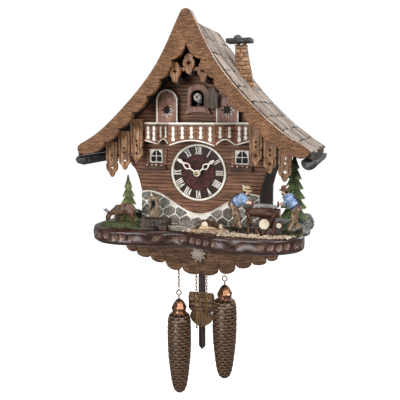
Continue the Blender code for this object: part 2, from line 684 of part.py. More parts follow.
def saw_and_sawyers():
    blade = box((84.5, 119.5), (FIGURE_Y + 0.5, FIGURE_Y - 0.5), (SAW_Z - 2.1, SAW_Z + 3.0))
    grips = [rod((x, FIGURE_Y, SAW_Z - 1.5), (x, FIGURE_Y, SAW_Z + 7), 1.4, sides=8) for x in (85.5, 118.5)]
    place("saw", fuse(blade, *grips), "steel")

    # The left sawyer bends low over the saw, the right one stands higher.
    poses = {
        "left": {"hip": (60.5, -38), "chest": (72.5, -28), "head": (77, -20), "knee": (65.5, -56), "hand": (82.3, -34)},
        "right": {"hip": (141.5, -39), "chest": (132.5, -26), "head": (126.5, -17.5), "knee": (139.5, -56), "hand": (121.7, -34)},
    }
    for side, sign in SIDES.items():
        pose = poses[side]
        foot_x, y, foot_z = FIGURE_FEET[side]

        def at(point, shift=0.0):
            return (point[0], y + shift, point[1])
        parts = [ball(at(pose["hip"]), (6.0, 6.5, 6.5), 10)]
        parts.append(rod(at(pose["hip"]), at(pose["chest"]), 6.2, 5.6, 10))
        parts.append(ball(at(pose["chest"]), (6.0, 7.0, 6.0), 10))
        parts.append(rod(at(pose["chest"]), at(pose["head"]), 3.0, 2.4, 8))
        parts.append(ball(at(pose["head"]), (4.4, 4.2, 5.0), 10))
        hat_z = pose["head"][1] + 3.0
        parts.append(turned([(0, 0), (7.4, 0.3), (7.4, 1.3), (4.6, 1.8), (3.8, 5.6), (0, 6.4)],
                            (pose["head"][0], y, hat_z), sides=12))
        for shift in (-4.2, 4.2):
            leg_foot = (foot_x + shift * 1.4 * sign, foot_z)
            parts.append(rod(at(pose["hip"], shift * 0.7), at(pose["knee"], shift), 4.0, 3.2, 8))
            parts.append(rod(at(pose["knee"], shift), at(leg_foot, shift), 3.2, 2.6, 8))
            elbow = ((pose["chest"][0] * 2 + pose["hand"][0]) / 3, pose["hand"][1] + 1.5)
            parts.append(rod(at(pose["chest"], shift * 1.4), at(elbow, shift * 1.5), 2.8, 2.2, 8))
            parts.append(rod(at(elbow, shift * 1.5), at(pose["hand"], shift * 0.45), 2.2, 1.8, 8))
        place(f"sawyer_{side}", fuse(*parts), "figure_cloth", pivot=(foot_x, y, foot_z), smooth=True)


# ---------------------------------------------------------------- inside and below

def movement():
    case = fuse(box((-28, 28), (-85, -102.4), (-27, 27)),
                box((-29, 29), (-85, -102.4), (-48.5, -26.5)),
                rod((0, -101, 0), (0, -110.8, 0), ARBOR_HOLE - 0.4, sides=16))
    pocket = box((-27, 27), (-70, -101.0), (-46.5, -29.5))
    shaft_hole = rod((0, -101.5, 0), (0, -120, 0), 2.0, sides=16)
    place("movement_case", cut(case, pocket, shaft_hole), "black_plastic")
    cell = turned([(0, 0), (7.0, 0), (7.0, 48.5), (2.6, 48.5), (2.6, 50.5), (0, 50.5)], (0, 0, 0), sides=16)
    cell.transform(Matrix.Translation((-25.3, -93.0, -38.2)) @ Matrix.Rotation(math.radians(90), 4, "Y"))
    place("battery", cell, "battery_wrap")
    place("battery_lid", fuse(box((-29, 29), (-83.2, -84.7), (-48.5, -27.5)),
                              box((-6, 6), (-81.8, -83.6), (-39, -37))), "black_plastic")
    place("setting_knob", turned([(5.5, 0), (6.5, 1.0), (6.5, 4.4), (2.0, 4.4), (2.0, 6.0)],
                                 (0, -78.6, 9), "Y", 14), "black_plastic", pivot=(0, -78.6, 9))
    sound = fuse(box((-76, -38), (-64, -100), (-20, 26)),
                 turned([(15, 0), (15, 2), (12, 2.9)], (-57, -99.6, 3), "Y", 18))
    slot = box((-52, -48), (-60, -66.5), (-8, 10))
    place("sound_box", cut(sound, slot), "black_plastic")
    place("volume_switch", box((-51.4, -48.6), (-61.5, -66.0), (-2, 2)), "black_plastic")
    drive = fuse(box((PENDULUM_X - 14, PENDULUM_X + 14), (-69, -88), (-56.8, -49)),
                 box((PENDULUM_X - 8, PENDULUM_X - 2.5), (-74, -82), (-60.5, -56)),
                 box((PENDULUM_X + 2.5, PENDULUM_X + 8), (-74, -82), (-60.5, -56)))
    place("pendulum_drive", drive, "black_plastic")
    rail = box((-79.4, 79.4), (-92.5, -102.4), (-64.0, -52.0))
    pegs = [rod((x, CHAIN_Y, -65.5 + 3), (x, CHAIN_Y, CHAIN_TOP_Z + GAP), 1.6, sides=8)
            for x in (-WEIGHT_X, -TAIL_X, TAIL_X, WEIGHT_X)]
    place("chain_rail", fuse(rail, *pegs), "plank_wood")


def pendulum():
    x, y = PENDULUM_X, PENDULUM_Y
    pivot = (x, y, PENDULUM_PIVOT_Z)
    rod_solid = fuse(prism([(x - 4.5, -104), (x + 4.5, -104), (x + 4.5, -269.0), (x, -276.0),
                            (x - 4.5, -269.0)], y + 1.5, y - 1.5),
                     rod((x, y, PENDULUM_PIVOT_Z - 0.4), (x, y, -106), 1.2, sides=8))
    place("pendulum_rod", rod_solid, "base_wood", pivot=pivot)
    leaf = [(x - 20, -183.5), (x + 20, -183.5), (x + 20, -210.5), (x + 17, -213.5), (x + 18, -223),
            (x + 14.5, -233), (x, -240.0), (x - 14.5, -233), (x - 18, -223), (x - 17, -213.5), (x - 20, -210.5)]
    place("pendulum_bob", prism(leaf, y - 1.8, y - 5.3), "trim_wood", pivot=pivot)


def chain_tube(name, x, top, bottom, pivot_z):
    """Plain tube that stands for a hanging length of link chain."""
    curve = bpy.data.curves.new(name, "CURVE")
    curve.dimensions = "3D"
    curve.bevel_depth = 1.6 * MM
    curve.bevel_resolution = 2
    curve.use_fill_caps = True
    spline = curve.splines.new("POLY")
    steps = max(4, round((top - bottom) / 8))
    spline.points.add(steps)
    for k in range(steps + 1):
        spline.points[k].co = (0, 0, (top + (bottom - top) * k / steps - pivot_z) * MM, 1)
    curve.materials.append(material("brass"))
    thing = bpy.data.objects.new(name, curve)
    thing.location = Vector((x, CHAIN_Y, pivot_z - MOUNT_ABOVE_DIAL)) * MM
    bpy.context.collection.objects.link(thing)


def weights():
    shape = [(0, 0), (3.6, 0.01), (7.2, 4.0), (11.6, 12.2), (11.6, 14.6), (9.6, 18.0), (10.4, 20.2),
             (15.4, 24.0), (17.6, 31.0), (18.2, 45), (18.2, 70), (17.4, 88), (16.0, 103), (14.5, 116),
             (13.1, 127), (11.4, 136), (9.0, 142.5), (5.5, 146.2), (0, 147.2)]
    for side, sign in SIDES.items():
        x, top = sign * WEIGHT_X, WEIGHT_TOP[side]
        ring_z = top + HOOK_RISE
        stretch = WEIGHT_LENGTH[side] / 147.2
        profile = [(radius, -drop * stretch) for radius, drop in shape]
        cone = fuse(turned(profile, (x, CHAIN_Y, top), sides=20),
                    ring_of((x, CHAIN_Y, ring_z), 3.7, 0.8),
                    rod((x, CHAIN_Y, top - 1), (x, CHAIN_Y, ring_z - 3.4), 1.1, sides=8))
        place(f"weight_{side}", cone, "bronze", pivot=(x, CHAIN_Y, ring_z + 4.5), smooth=True)
        chain_tube(f"weight_chain_{side}", x, CHAIN_TOP_Z, ring_z + 4.5 + GAP, CHAIN_TOP_Z)
        chain_tube(f"chain_tail_{side}", sign * TAIL_X, CHAIN_TOP_Z, TAIL_END[side], CHAIN_TOP_Z)


def build():
    clear_scene()
    back_panel()
    side_walls()
    facade()
    stone_wall()
    gable()
    roofs()
    gutters()
    chimney()
    hanging_boards()
    balcony()
    cuckoo_group()
    windows()
    dial_group()
    base()
    apron()
    tree("tree_left", (-105.0, -118.0), -5.0, BASE_TOP_Z + GAP, 13.0, 5)
    tree("tree_right", (131.0, -94.0), 30.0, -65.5, 17.0, 6)
    deer()
    trough()
    sawing_place()
    saw_and_sawyers()
    movement()
    pendulum()
    weights()


build()
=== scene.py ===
"""Looks of the chalet cuckoo clock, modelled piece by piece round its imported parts.

Pieces are drawn in millimetres (x to the viewer's right, y from the wall and
negative towards the viewer, z up from the centre of the dial) and are scaled
and set in place by settle().
"""

import math
import random

import bmesh
import bpy
from mathutils import Matrix, Vector, noise


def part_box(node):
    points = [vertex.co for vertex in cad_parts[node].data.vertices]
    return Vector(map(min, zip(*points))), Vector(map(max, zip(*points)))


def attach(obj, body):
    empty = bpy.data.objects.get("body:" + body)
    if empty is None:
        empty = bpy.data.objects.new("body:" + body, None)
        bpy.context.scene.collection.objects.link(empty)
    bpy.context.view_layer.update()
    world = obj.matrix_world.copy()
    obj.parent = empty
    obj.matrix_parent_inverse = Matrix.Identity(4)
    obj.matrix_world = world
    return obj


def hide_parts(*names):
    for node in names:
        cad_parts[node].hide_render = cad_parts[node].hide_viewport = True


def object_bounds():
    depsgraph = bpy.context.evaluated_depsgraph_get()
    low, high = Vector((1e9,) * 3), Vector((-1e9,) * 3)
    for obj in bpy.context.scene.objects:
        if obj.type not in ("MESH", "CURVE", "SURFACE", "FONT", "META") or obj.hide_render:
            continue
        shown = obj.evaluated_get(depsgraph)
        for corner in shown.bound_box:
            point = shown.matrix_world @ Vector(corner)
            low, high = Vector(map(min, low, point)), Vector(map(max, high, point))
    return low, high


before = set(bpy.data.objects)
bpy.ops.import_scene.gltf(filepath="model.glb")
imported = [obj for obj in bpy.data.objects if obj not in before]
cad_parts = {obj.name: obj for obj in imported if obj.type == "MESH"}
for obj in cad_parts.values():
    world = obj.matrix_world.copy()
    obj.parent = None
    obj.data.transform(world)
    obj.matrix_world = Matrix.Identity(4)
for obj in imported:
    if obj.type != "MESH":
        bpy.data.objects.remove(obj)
cad_low, cad_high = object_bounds()

MM = 0.001
ring_low, ring_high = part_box("dial_ring")
DIAL_CENTRE = Vector(((ring_low.x + ring_high.x) / 2, 0.0, (ring_low.z + ring_high.z) / 2))
TO_METRES = Matrix.Translation(DIAL_CENTRE) @ Matrix.Scale(MM, 4)
SIDES = {"left": -1, "right": 1}


shift = Matrix.Translation


def spin(degrees, axis):
    """Turn about an axis through the centre of the dial."""
    return Matrix.Rotation(math.radians(degrees), 4, axis)


def edges(node):
    """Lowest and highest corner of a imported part, in drawing millimetres."""
    low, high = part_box(node)
    return (low - DIAL_CENTRE) / MM, (high - DIAL_CENTRE) / MM


# ---------------------------------------------------------------- finishes

def link(tree, source, output, target, socket):
    """Join an output of one node to an input of another."""
    tree.links.new(source.outputs[output], target.inputs[socket])


def ramp(tree, stops, source, output="Fac"):
    """Colour ramp fed by another node; stops are (position, colour)."""
    made = tree.nodes.new("ShaderNodeValToRGB")
    while len(made.color_ramp.elements) < len(stops):
        made.color_ramp.elements.new(0.5)
    for element, (position, colour) in zip(made.color_ramp.elements, stops):
        element.position = position
        element.color = (*colour, 1.0)
    link(tree, source, output, made, "Fac")
    return made


def noise_node(tree, source, output, scale, detail):
    """Solid noise on the coordinates of another node."""
    made = tree.nodes.new("ShaderNodeTexNoise")
    made.inputs["Scale"].default_value = scale
    made.inputs["Detail"].default_value = detail
    link(tree, source, output, made, "Vector")
    return made


def attribute_node(tree, name):
    """Reader of a number stored on the piece."""
    made = tree.nodes.new("ShaderNodeAttribute")
    made.attribute_name = name
    return made


def finish(name, dark, mid, light, grain=(6, 6, 6), roughness=0.55, relief=0.15, metallic=0.0,
           blotch=25.0, spread=0.16, fine=0.8, coat=0.0, tips=None, tint=None, flecks=None,
           sheen=0.0, shine=0.25):
    """Procedural finish: streaks of three tones, blotches, fine relief and uneven gloss.

    grain is the size of a streak along x, y and z in millimetres; tips is the
    colour that the "tip" attribute blends in (painted shade on the shingle butts,
    painted highlight on the gable edge and the cone scales, own colour elsewhere),
    tint the share by which the "tint" attribute darkens a copy, flecks a colour
    for small light specks.
    """
    made = bpy.data.materials.new(name)
    made.use_nodes = True
    tree = made.node_tree
    shader = tree.nodes["Principled BSDF"]
    shader.inputs["Metallic"].default_value = metallic
    shader.inputs["Coat Weight"].default_value = coat
    shader.inputs["Coat Roughness"].default_value = 0.25
    shader.inputs["Sheen Weight"].default_value = sheen
    shader.inputs["Specular IOR Level"].default_value = shine
    place = tree.nodes.new("ShaderNodeTexCoord")
    sized = tree.nodes.new("ShaderNodeMapping")
    sized.inputs["Scale"].default_value = [1.0 / (MM * size) for size in grain]
    link(tree, place, "Object", sized, "Vector")
    streak = noise_node(tree, sized, "Vector", 1.0, 5.0)
    streak.inputs["Roughness"].default_value = 0.62
    streak.inputs["Distortion"].default_value = 0.35
    colour = ramp(tree, [(0.5 - spread, dark), (0.5, mid), (0.5 + spread, light)], streak)
    last, out = colour, "Color"

    def mix(kind, amount, second, socket="Color"):
        nonlocal last, out
        blend = tree.nodes.new("ShaderNodeMix")
        blend.data_type = "RGBA"
        blend.blend_type = kind
        link(tree, last, out, blend, 6)
        if isinstance(second, tuple):
            blend.inputs[7].default_value = (*second, 1.0)
        else:
            link(tree, second, socket, blend, 7)
        if isinstance(amount, tuple):
            link(tree, amount[0], amount[1], blend, 0)
        else:
            blend.inputs[0].default_value = amount
        last, out = blend, 2

    cloud = noise_node(tree, place, "Object", 1.0 / (MM * blotch), 3.0)
    shade = ramp(tree, [(0.35, (0.62, 0.60, 0.58)), (0.65, (1.0, 1.0, 1.0))], cloud)
    mix("MULTIPLY", 0.8, shade)
    grit = noise_node(tree, place, "Object", 1.0 / (MM * fine), 3.0)
    if flecks:
        spots = ramp(tree, [(0.60, (0, 0, 0)), (0.68, (1, 1, 1))], grit)
        mix("MIX", (spots, "Color"), flecks)
    if tips:
        mix("MIX", (attribute_node(tree, "tip"), "Fac"), tips)
    if tint:
        pale = ramp(tree, [(0.0, (1 - tint,) * 3), (1.0, (1.0 + tint * 0.3,) * 3)],
                    attribute_node(tree, "tint"))
        mix("MULTIPLY", 1.0, pale)
    link(tree, last, out, shader, "Base Color")
    gloss = tree.nodes.new("ShaderNodeMapRange")
    gloss.inputs["To Min"].default_value = max(0.05, roughness - 0.12)
    gloss.inputs["To Max"].default_value = min(1.0, roughness + 0.12)
    link(tree, grit, "Fac", gloss, "Value")
    link(tree, gloss, "Result", shader, "Roughness")
    if relief:
        both = tree.nodes.new("ShaderNodeMath")
        both.operation = "MULTIPLY_ADD"
        both.inputs[1].default_value = 0.35
        link(tree, grit, "Fac", both, 0)
        link(tree, streak, "Fac", both, 2)
        bump = tree.nodes.new("ShaderNodeBump")
        bump.inputs["Strength"].default_value = 1.0
        bump.inputs["Distance"].default_value = relief * MM
        link(tree, both, "Value", bump, "Height")
        link(tree, bump, "Normal", shader, "Normal")
    return made


# Its tips colour is the pale painted highlight along the barge boards' upper edge.
GABLE = finish("gable_carved_wood", (0.06, 0.025, 0.01), (0.155, 0.068, 0.029), (0.31, 0.155, 0.075),
               grain=(12, 12, 1.5), roughness=0.5, relief=1.0, flecks=(0.40, 0.25, 0.15), fine=1.2,
               tips=(0.74, 0.66, 0.58))
GABLE_PALE = finish("pale_carved_wood", (0.11, 0.048, 0.02), (0.28, 0.14, 0.068), (0.5, 0.29, 0.16),
                    grain=(3.0, 9, 14), roughness=0.5, relief=0.5)
PLANK = finish("log_plank_wood", (0.06, 0.024, 0.012), (0.185, 0.082, 0.042), (0.36, 0.185, 0.105),
               grain=(30, 12, 1.4), roughness=0.5, relief=0.3)
GROOVE = finish("groove_shadow_wood", (0.008, 0.004, 0.003), (0.014, 0.008, 0.006), (0.03, 0.016, 0.012))
CASE_SIDE = finish("case_side_wood", (0.02, 0.008, 0.004), (0.042, 0.018, 0.009), (0.08, 0.038, 0.021),
                   grain=(8, 40, 3), roughness=0.55, relief=0.3, shine=0.03)
BACK_WOOD = finish("back_panel_wood", (0.10, 0.055, 0.032), (0.19, 0.11, 0.065), (0.29, 0.18, 0.11),
                   grain=(4, 8, 60), roughness=0.62, relief=0.15)
# tips is the near-black painted shade laid on the shingle butts.
SHINGLE = finish("bleached_shingle", (0.15, 0.105, 0.08), (0.4, 0.325, 0.275), (0.68, 0.6, 0.53),
                 grain=(14, 3.0, 14), roughness=0.78, relief=0.5, tint=0.5, tips=(0.018, 0.013, 0.011),
                 spread=0.2)
SHINGLE_BED = finish("shingle_bed", (0.02, 0.014, 0.012), (0.05, 0.036, 0.03), (0.09, 0.066, 0.055),
                     grain=(10, 4, 10), roughness=0.85, relief=0.4)
BASE = finish("dark_carved_gloss", (0.011, 0.004, 0.003), (0.034, 0.0125, 0.0085), (0.09, 0.036, 0.026),
              grain=(10, 10, 5), roughness=0.26, relief=0.35, coat=0.6, tips=(0.40, 0.26, 0.20), shine=0.12,
              spread=0.2)
BARK = finish("red_brown_bark", (0.01, 0.005, 0.0035), (0.034, 0.018, 0.012), (0.1, 0.058, 0.04),
              grain=(2.0, 2.0, 22), roughness=0.42, relief=0.7, coat=0.3)
LOG_SIDE = finish("log_bark", (0.016, 0.006, 0.004), (0.062, 0.026, 0.016), (0.15, 0.075, 0.048),
                  grain=(20, 2.0, 2.0), roughness=0.5, relief=0.6)
TRIM = finish("carved_trim_wood", (0.05, 0.02, 0.009), (0.15, 0.072, 0.035), (0.29, 0.16, 0.088),
              grain=(16, 9, 2.4), roughness=0.42, relief=0.25, coat=0.25, tips=(0.36, 0.24, 0.16))
DOOR_RED = finish("door_red_brown", (0.11, 0.038, 0.024), (0.27, 0.12, 0.08), (0.42, 0.235, 0.165),
                  grain=(2.4, 6, 24), roughness=0.42, relief=0.25)
DOOR_GREY = finish("door_grey_brown", (0.06, 0.044, 0.034), (0.15, 0.116, 0.094), (0.28, 0.235, 0.2),
                   grain=(1.6, 1.6, 24), roughness=0.42, relief=0.2)
CREAM = finish("cream_paint", (0.74, 0.66, 0.55), (0.9, 0.86, 0.78), (0.95, 0.93, 0.89),
               grain=(5, 5, 5), roughness=0.45, relief=0.1)
BRICK = finish("chimney_brick", (0.28, 0.145, 0.072), (0.46, 0.265, 0.15), (0.62, 0.41, 0.26),
               grain=(5, 5, 3), roughness=0.8, relief=0.35, tint=0.4)
MORTAR = finish("mortar", (0.04, 0.022, 0.014), (0.08, 0.045, 0.03), (0.14, 0.09, 0.06), roughness=0.9)
SLATE = finish("slate_grey", (0.022, 0.021, 0.021), (0.06, 0.058, 0.058), (0.15, 0.147, 0.145),
               grain=(7, 20, 3), roughness=0.6, relief=0.4)
STONE = finish("speckled_stone", (0.04, 0.034, 0.028), (0.2, 0.178, 0.152), (0.55, 0.51, 0.45),
               grain=(2.2, 2.2, 2.2), roughness=0.7, relief=0.5, tint=0.5, flecks=(0.66, 0.62, 0.55),
               fine=0.9)
ROCK = finish("striated_rock", (0.035, 0.032, 0.028), (0.13, 0.125, 0.115), (0.36, 0.35, 0.33),
              grain=(14, 14, 1.8), roughness=0.6, relief=0.8, tips=(0.5, 0.49, 0.46))
DIAL = finish("dial_red_black", (0.008, 0.003, 0.003), (0.02, 0.007, 0.006), (0.05, 0.016, 0.014),
              grain=(5, 5, 5), roughness=0.38, relief=0.15, shine=0.12)
DIAL_RED = finish("dial_centre_red", (0.02, 0.004, 0.004), (0.052, 0.01, 0.009), (0.13, 0.03, 0.025),
                  grain=(4, 4, 4), roughness=0.4, relief=0.15, shine=0.12)
BLACK = finish("deep_black", (0.002, 0.002, 0.002), (0.004, 0.004, 0.004), (0.008, 0.008, 0.008),
               roughness=0.3, shine=0.05)
LEAF = finish("fir_green", (0.022, 0.03, 0.009), (0.07, 0.092, 0.03), (0.17, 0.2, 0.08),
              grain=(1.5, 1.5, 1.5), roughness=0.75, relief=0.5, tips=(0.44, 0.45, 0.20))
# Shaded copy of the fir green for the right-hand tree: painted shade.
LEAF_SHADED = finish("shaded_fir_green", (0.012, 0.022, 0.006), (0.040, 0.065, 0.020), (0.10, 0.14, 0.055),
                   grain=(1.5, 1.5, 1.5), roughness=0.75, relief=0.5, tips=(0.30, 0.36, 0.18))
PUMP = finish("pump_post_wood", (0.035, 0.017, 0.009), (0.20, 0.13, 0.085), (0.60, 0.50, 0.38),
              grain=(1.6, 1.6, 7), roughness=0.5, relief=0.6, spread=0.28)
MOSS = finish("green_brown_moss", (0.018, 0.024, 0.008), (0.055, 0.068, 0.024), (0.2, 0.2, 0.1),
              grain=(2.2, 2.2, 2.2), roughness=0.95, relief=0.9, blotch=9)
DEER = finish("deer_brown", (0.035, 0.016, 0.01), (0.11, 0.058, 0.038), (0.24, 0.15, 0.105),
              grain=(3, 3, 5), roughness=0.42, relief=0.2)
SHIRT = finish("blue_shirt", (0.055, 0.11, 0.225), (0.15, 0.245, 0.42), (0.5, 0.59, 0.74),
               grain=(2.5, 2.5, 4), roughness=0.8, relief=0.35, sheen=0.2)
TROUSERS = finish("brown_trousers", (0.045, 0.024, 0.015), (0.19, 0.12, 0.075), (0.55, 0.42, 0.29),
                  grain=(3, 3, 5), roughness=0.8, relief=0.35)
SKIN = finish("painted_skin", (0.52, 0.3, 0.2), (0.7, 0.46, 0.33), (0.84, 0.64, 0.5),
              grain=(3, 3, 3), roughness=0.45, relief=0.05)
STRAW = finish("straw_hat", (0.30, 0.20, 0.09), (0.50, 0.37, 0.19), (0.68, 0.55, 0.33),
               grain=(2, 2, 0.8), roughness=0.75, relief=0.4)
FELT = finish("red_brown_felt", (0.06, 0.022, 0.014), (0.15, 0.062, 0.038), (0.30, 0.16, 0.11),
              grain=(2, 2, 2), roughness=0.85, relief=0.3)
LEATHER = finish("dark_leather", (0.010, 0.007, 0.006), (0.025, 0.017, 0.013), (0.07, 0.05, 0.04),
                 roughness=0.5)
HAIR = finish("dark_hair", (0.012, 0.007, 0.005), (0.03, 0.018, 0.012), (0.08, 0.05, 0.03),
              grain=(0.8, 0.8, 4), roughness=0.6)
PALE_WOOD = finish("fresh_cut_wood", (0.33, 0.20, 0.11), (0.52, 0.36, 0.23), (0.70, 0.55, 0.39),
                   grain=(6, 2, 2), roughness=0.65, relief=0.3, tint=0.5)
END_GRAIN = finish("log_end_cream", (0.45, 0.35, 0.24), (0.66, 0.57, 0.44), (0.80, 0.73, 0.62),
                   grain=(1.2, 6, 1.2), roughness=0.6, relief=0.3)
DULL_STEEL = finish("worn_saw_steel", (0.16, 0.155, 0.15), (0.26, 0.255, 0.25), (0.40, 0.39, 0.38),
                    grain=(12, 2, 1), roughness=0.6, relief=0.03, metallic=0.5)
STEEL = finish("plain_steel", (0.40, 0.40, 0.41), (0.55, 0.55, 0.56), (0.70, 0.70, 0.71),
               grain=(12, 2, 1), roughness=0.32, relief=0.03, metallic=1.0)
BRASS = finish("aged_brass", (0.30, 0.17, 0.060), (0.56, 0.35, 0.14), (0.80, 0.58, 0.29),
               grain=(4, 4, 4), roughness=0.3, relief=0.05, metallic=1.0)
COPPER = finish("copper_cap", (0.06, 0.025, 0.013), (0.21, 0.098, 0.054), (0.5, 0.29, 0.175),
                grain=(4, 4, 4), roughness=0.36, relief=0.1, metallic=0.9)
# tips is the pale colour on the lower rims of the scales: painted highlight.
CONE = finish("bronze_cone", (0.007, 0.0035, 0.002), (0.034, 0.0165, 0.008), (0.105, 0.053, 0.027),
              grain=(3, 3, 3), roughness=0.36, relief=0.1, metallic=0.3, tips=(0.40, 0.235, 0.13),
              shine=0.5)
ROD_WOOD = finish("rod_purple_brown", (0.018, 0.009, 0.009), (0.042, 0.024, 0.023), (0.085, 0.055, 0.052),
                  grain=(1.4, 4, 40), roughness=0.45, relief=0.15)
BOB_WOOD = finish("bob_olive_brown", (0.06, 0.026, 0.011), (0.165, 0.086, 0.04), (0.33, 0.2, 0.105),
                  grain=(3, 5, 10), roughness=0.42, relief=0.4, coat=0.2, tips=(0.33, 0.25, 0.15))
PLASTIC = finish("moulded_black_plastic", (0.012, 0.012, 0.013), (0.022, 0.022, 0.023),
                 (0.036, 0.036, 0.037),
                 grain=(9, 9, 9), roughness=0.42, relief=0.06)
CELL = finish("battery_wrap", (0.020, 0.022, 0.030), (0.045, 0.048, 0.062), (0.08, 0.085, 0.10),
              grain=(30, 6, 6), roughness=0.3, relief=0.0, metallic=0.4)
WHITE = finish("bird_white", (0.62, 0.56, 0.52), (0.80, 0.76, 0.72), (0.90, 0.87, 0.84),
               grain=(3, 3, 3), roughness=0.45, relief=0.1)
BEAK = finish("beak_red", (0.40, 0.06, 0.03), (0.60, 0.13, 0.08), (0.74, 0.26, 0.18), roughness=0.4)
FLOWER = finish("flower_red", (0.22, 0.02, 0.02), (0.40, 0.05, 0.05), (0.6, 0.14, 0.12), roughness=0.5)


# ---------------------------------------------------------------- bench tools

def pick(*things):
    """Leave edit mode and select only these objects, the first one active."""
    if bpy.context.object and bpy.context.object.mode != "OBJECT":
        bpy.ops.object.mode_set(mode="OBJECT")
    bpy.ops.object.select_all(action="DESELECT")
    for thing in things:
        thing.select_set(True)
    if things:
        bpy.context.view_layer.objects.active = things[0]


def edit(thing):
    """Open a piece in edit mode with all of it selected."""
    pick(thing)
    bpy.ops.object.mode_set(mode="EDIT")
    bpy.ops.mesh.select_all(action="SELECT")


def done():
    """Leave edit mode."""
    bpy.ops.object.mode_set(mode="OBJECT")
    return bpy.context.object


def bake_in(thing, kind, **values):
    """Add a modifier with these values and apply it."""
    pick(thing)
    modifier = thing.modifiers.new(kind.lower(), kind)
    for key, value in values.items():
        setattr(modifier, key, value)
    bpy.ops.object.modifier_apply(modifier=modifier.name)
    return thing


def wear(thing, material):
    """Give a piece one finish."""
    thing.data.materials.clear()
    thing.data.materials.append(material)
    return thing


def moved(thing, matrix):
    """Move the points of a piece."""
    thing.data.transform(matrix)
    return thing


def copy_of(thing, matrix=None):
    """Another object with its own copy of the mesh."""
    made = thing.copy()
    made.data = thing.data.copy()
    bpy.context.collection.objects.link(made)
    if matrix is not None:
        made.data.transform(matrix)
    return made


def joined(things):
    """Make several pieces one."""
    pick(*things)
    if len(things) > 1:
        bpy.ops.object.join()
    return bpy.context.object


def drop(*things):
    """Take away blanks and cutters."""
    for thing in things:
        bpy.data.objects.remove(thing)


def rounded(thing, degrees=40):
    """Smooth shading, with edges sharper than the angle kept."""
    pick(thing)
    bpy.ops.object.shade_smooth_by_angle(angle=math.radians(degrees))
    return thing


def mark(thing, attribute, value):
    """Store a number at each vertex; value is a number or a function of its place."""
    stored = thing.data.attributes.get(attribute) or thing.data.attributes.new(attribute, "FLOAT", "POINT")
    for vertex, cell in zip(thing.data.vertices, stored.data):
        cell.value = value(vertex.co) if callable(value) else value
    return thing


def kept_within(thing, low=(None,) * 3, high=(None,) * 3):
    """Press points that stray past a limit back to it; None sets no limit."""
    for vertex in thing.data.vertices:
        for axis, (least, most) in enumerate(zip(low, high)):
            if least is not None:
                vertex.co[axis] = max(least, vertex.co[axis])
            if most is not None:
                vertex.co[axis] = min(most, vertex.co[axis])
    return thing


def settle(thing, name, body="case", stands_for=()):
    """Bring a finished piece from millimetres to its place on the clock."""
    pick(thing)
    bpy.ops.object.transform_apply(location=True, rotation=True, scale=True)
    thing.name = name
    thing.data.name = name
    thing.data.transform(TO_METRES)
    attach(thing, body)
    if stands_for:
        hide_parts(*stands_for)
    return thing


def meshed(curve, threshold, place=None):
    """Mesh made of a curve, with close points merged and normals outward."""
    thing = bpy.data.objects.new("piece", curve)
    bpy.context.collection.objects.link(thing)
    pick(thing)
    bpy.ops.object.convert(target="MESH")
    thing = bpy.context.object
    if place is not None:
        moved(thing, place)
    edit(thing)
    bpy.ops.mesh.remove_doubles(threshold=threshold)
    bpy.ops.mesh.normals_make_consistent(inside=False)
    return done()


def plate(outline, y_back, y_front, ease=0.0, holes=(), material=None):
    """Board that stands in the x-z plane, sawn to an outline, with eased edges."""
    curve = bpy.data.curves.new("plate", "CURVE")
    curve.dimensions = "2D"
    curve.fill_mode = "BOTH"
    for loop in (outline, *holes):
        spline = curve.splines.new("POLY")
        spline.points.add(len(loop) - 1)
        spline.use_cyclic_u = True
        for point, (x, z) in zip(spline.points, loop):
            point.co = (x, z, 0.0, 1.0)
    curve.extrude = abs(y_back - y_front) / 2 - ease
    curve.bevel_depth = ease
    curve.bevel_resolution = 1
    curve.offset = -ease
    thing = meshed(curve, 0.002, shift((0, (y_back + y_front) / 2, 0)) @ spin(90, "X"))
    return wear(thing, material) if material else thing


def block(low, high, ease=0.5, material=None, parts=2):
    """Squared timber or brick between two corners, with bevelled edges."""
    size = [h - l for l, h in zip(low, high)]
    bpy.ops.mesh.primitive_cube_add(size=1.0, location=[(l + h) / 2 for l, h in zip(low, high)])
    thing = bpy.context.object
    bpy.ops.object.mode_set(mode="EDIT")
    bpy.ops.transform.resize(value=size)
    if ease:
        bpy.ops.mesh.bevel(offset=ease, segments=parts)
    done()
    bpy.ops.object.transform_apply(location=True)
    return wear(thing, material) if material else thing


def turned(profile, sides=20, material=None, place=None):
    """Lathe work: a disc extruded ring by ring through (radius, height) pairs."""
    radius, height = profile[0]
    bpy.ops.mesh.primitive_circle_add(vertices=sides, radius=radius, fill_type="NGON", location=(0, 0, 0))
    thing = bpy.context.object
    bpy.ops.object.mode_set(mode="EDIT")
    bpy.ops.transform.translate(value=(0, 0, height))
    for (r0, h0), (r1, h1) in zip(profile, profile[1:]):
        bpy.ops.mesh.extrude_region_move(TRANSFORM_OT_translate={"value": (0, 0, h1 - h0)})
        bpy.ops.transform.resize(value=(r1 / r0, r1 / r0, 1), center_override=(0, 0, h1))
    bpy.ops.mesh.select_all(action="SELECT")
    bpy.ops.mesh.normals_make_consistent(inside=False)
    done()
    if place is not None:
        moved(thing, place)
    if material:
        wear(thing, material)
    return rounded(thing)


def aim(start, end):
    """Matrix that stands a z-up piece at start, pointing to end."""
    start, run = Vector(start), Vector(end) - Vector(start)
    return shift(start) @ run.to_track_quat("Z", "Y").to_matrix().to_4x4()


def limb(start, end, radius, end_radius=None, sides=12, material=None):
    """Round tapered bar with eased ends."""
    length = (Vector(end) - Vector(start)).length
    tail = radius if end_radius is None else end_radius
    ease = min(radius, tail, length / 3) * 0.35
    profile = [(radius - ease, 0), (radius, ease), ((radius + tail) / 2, length / 2), (tail, length - ease),
               (tail - ease, length)]
    return turned(profile, sides, material, aim(start, end))


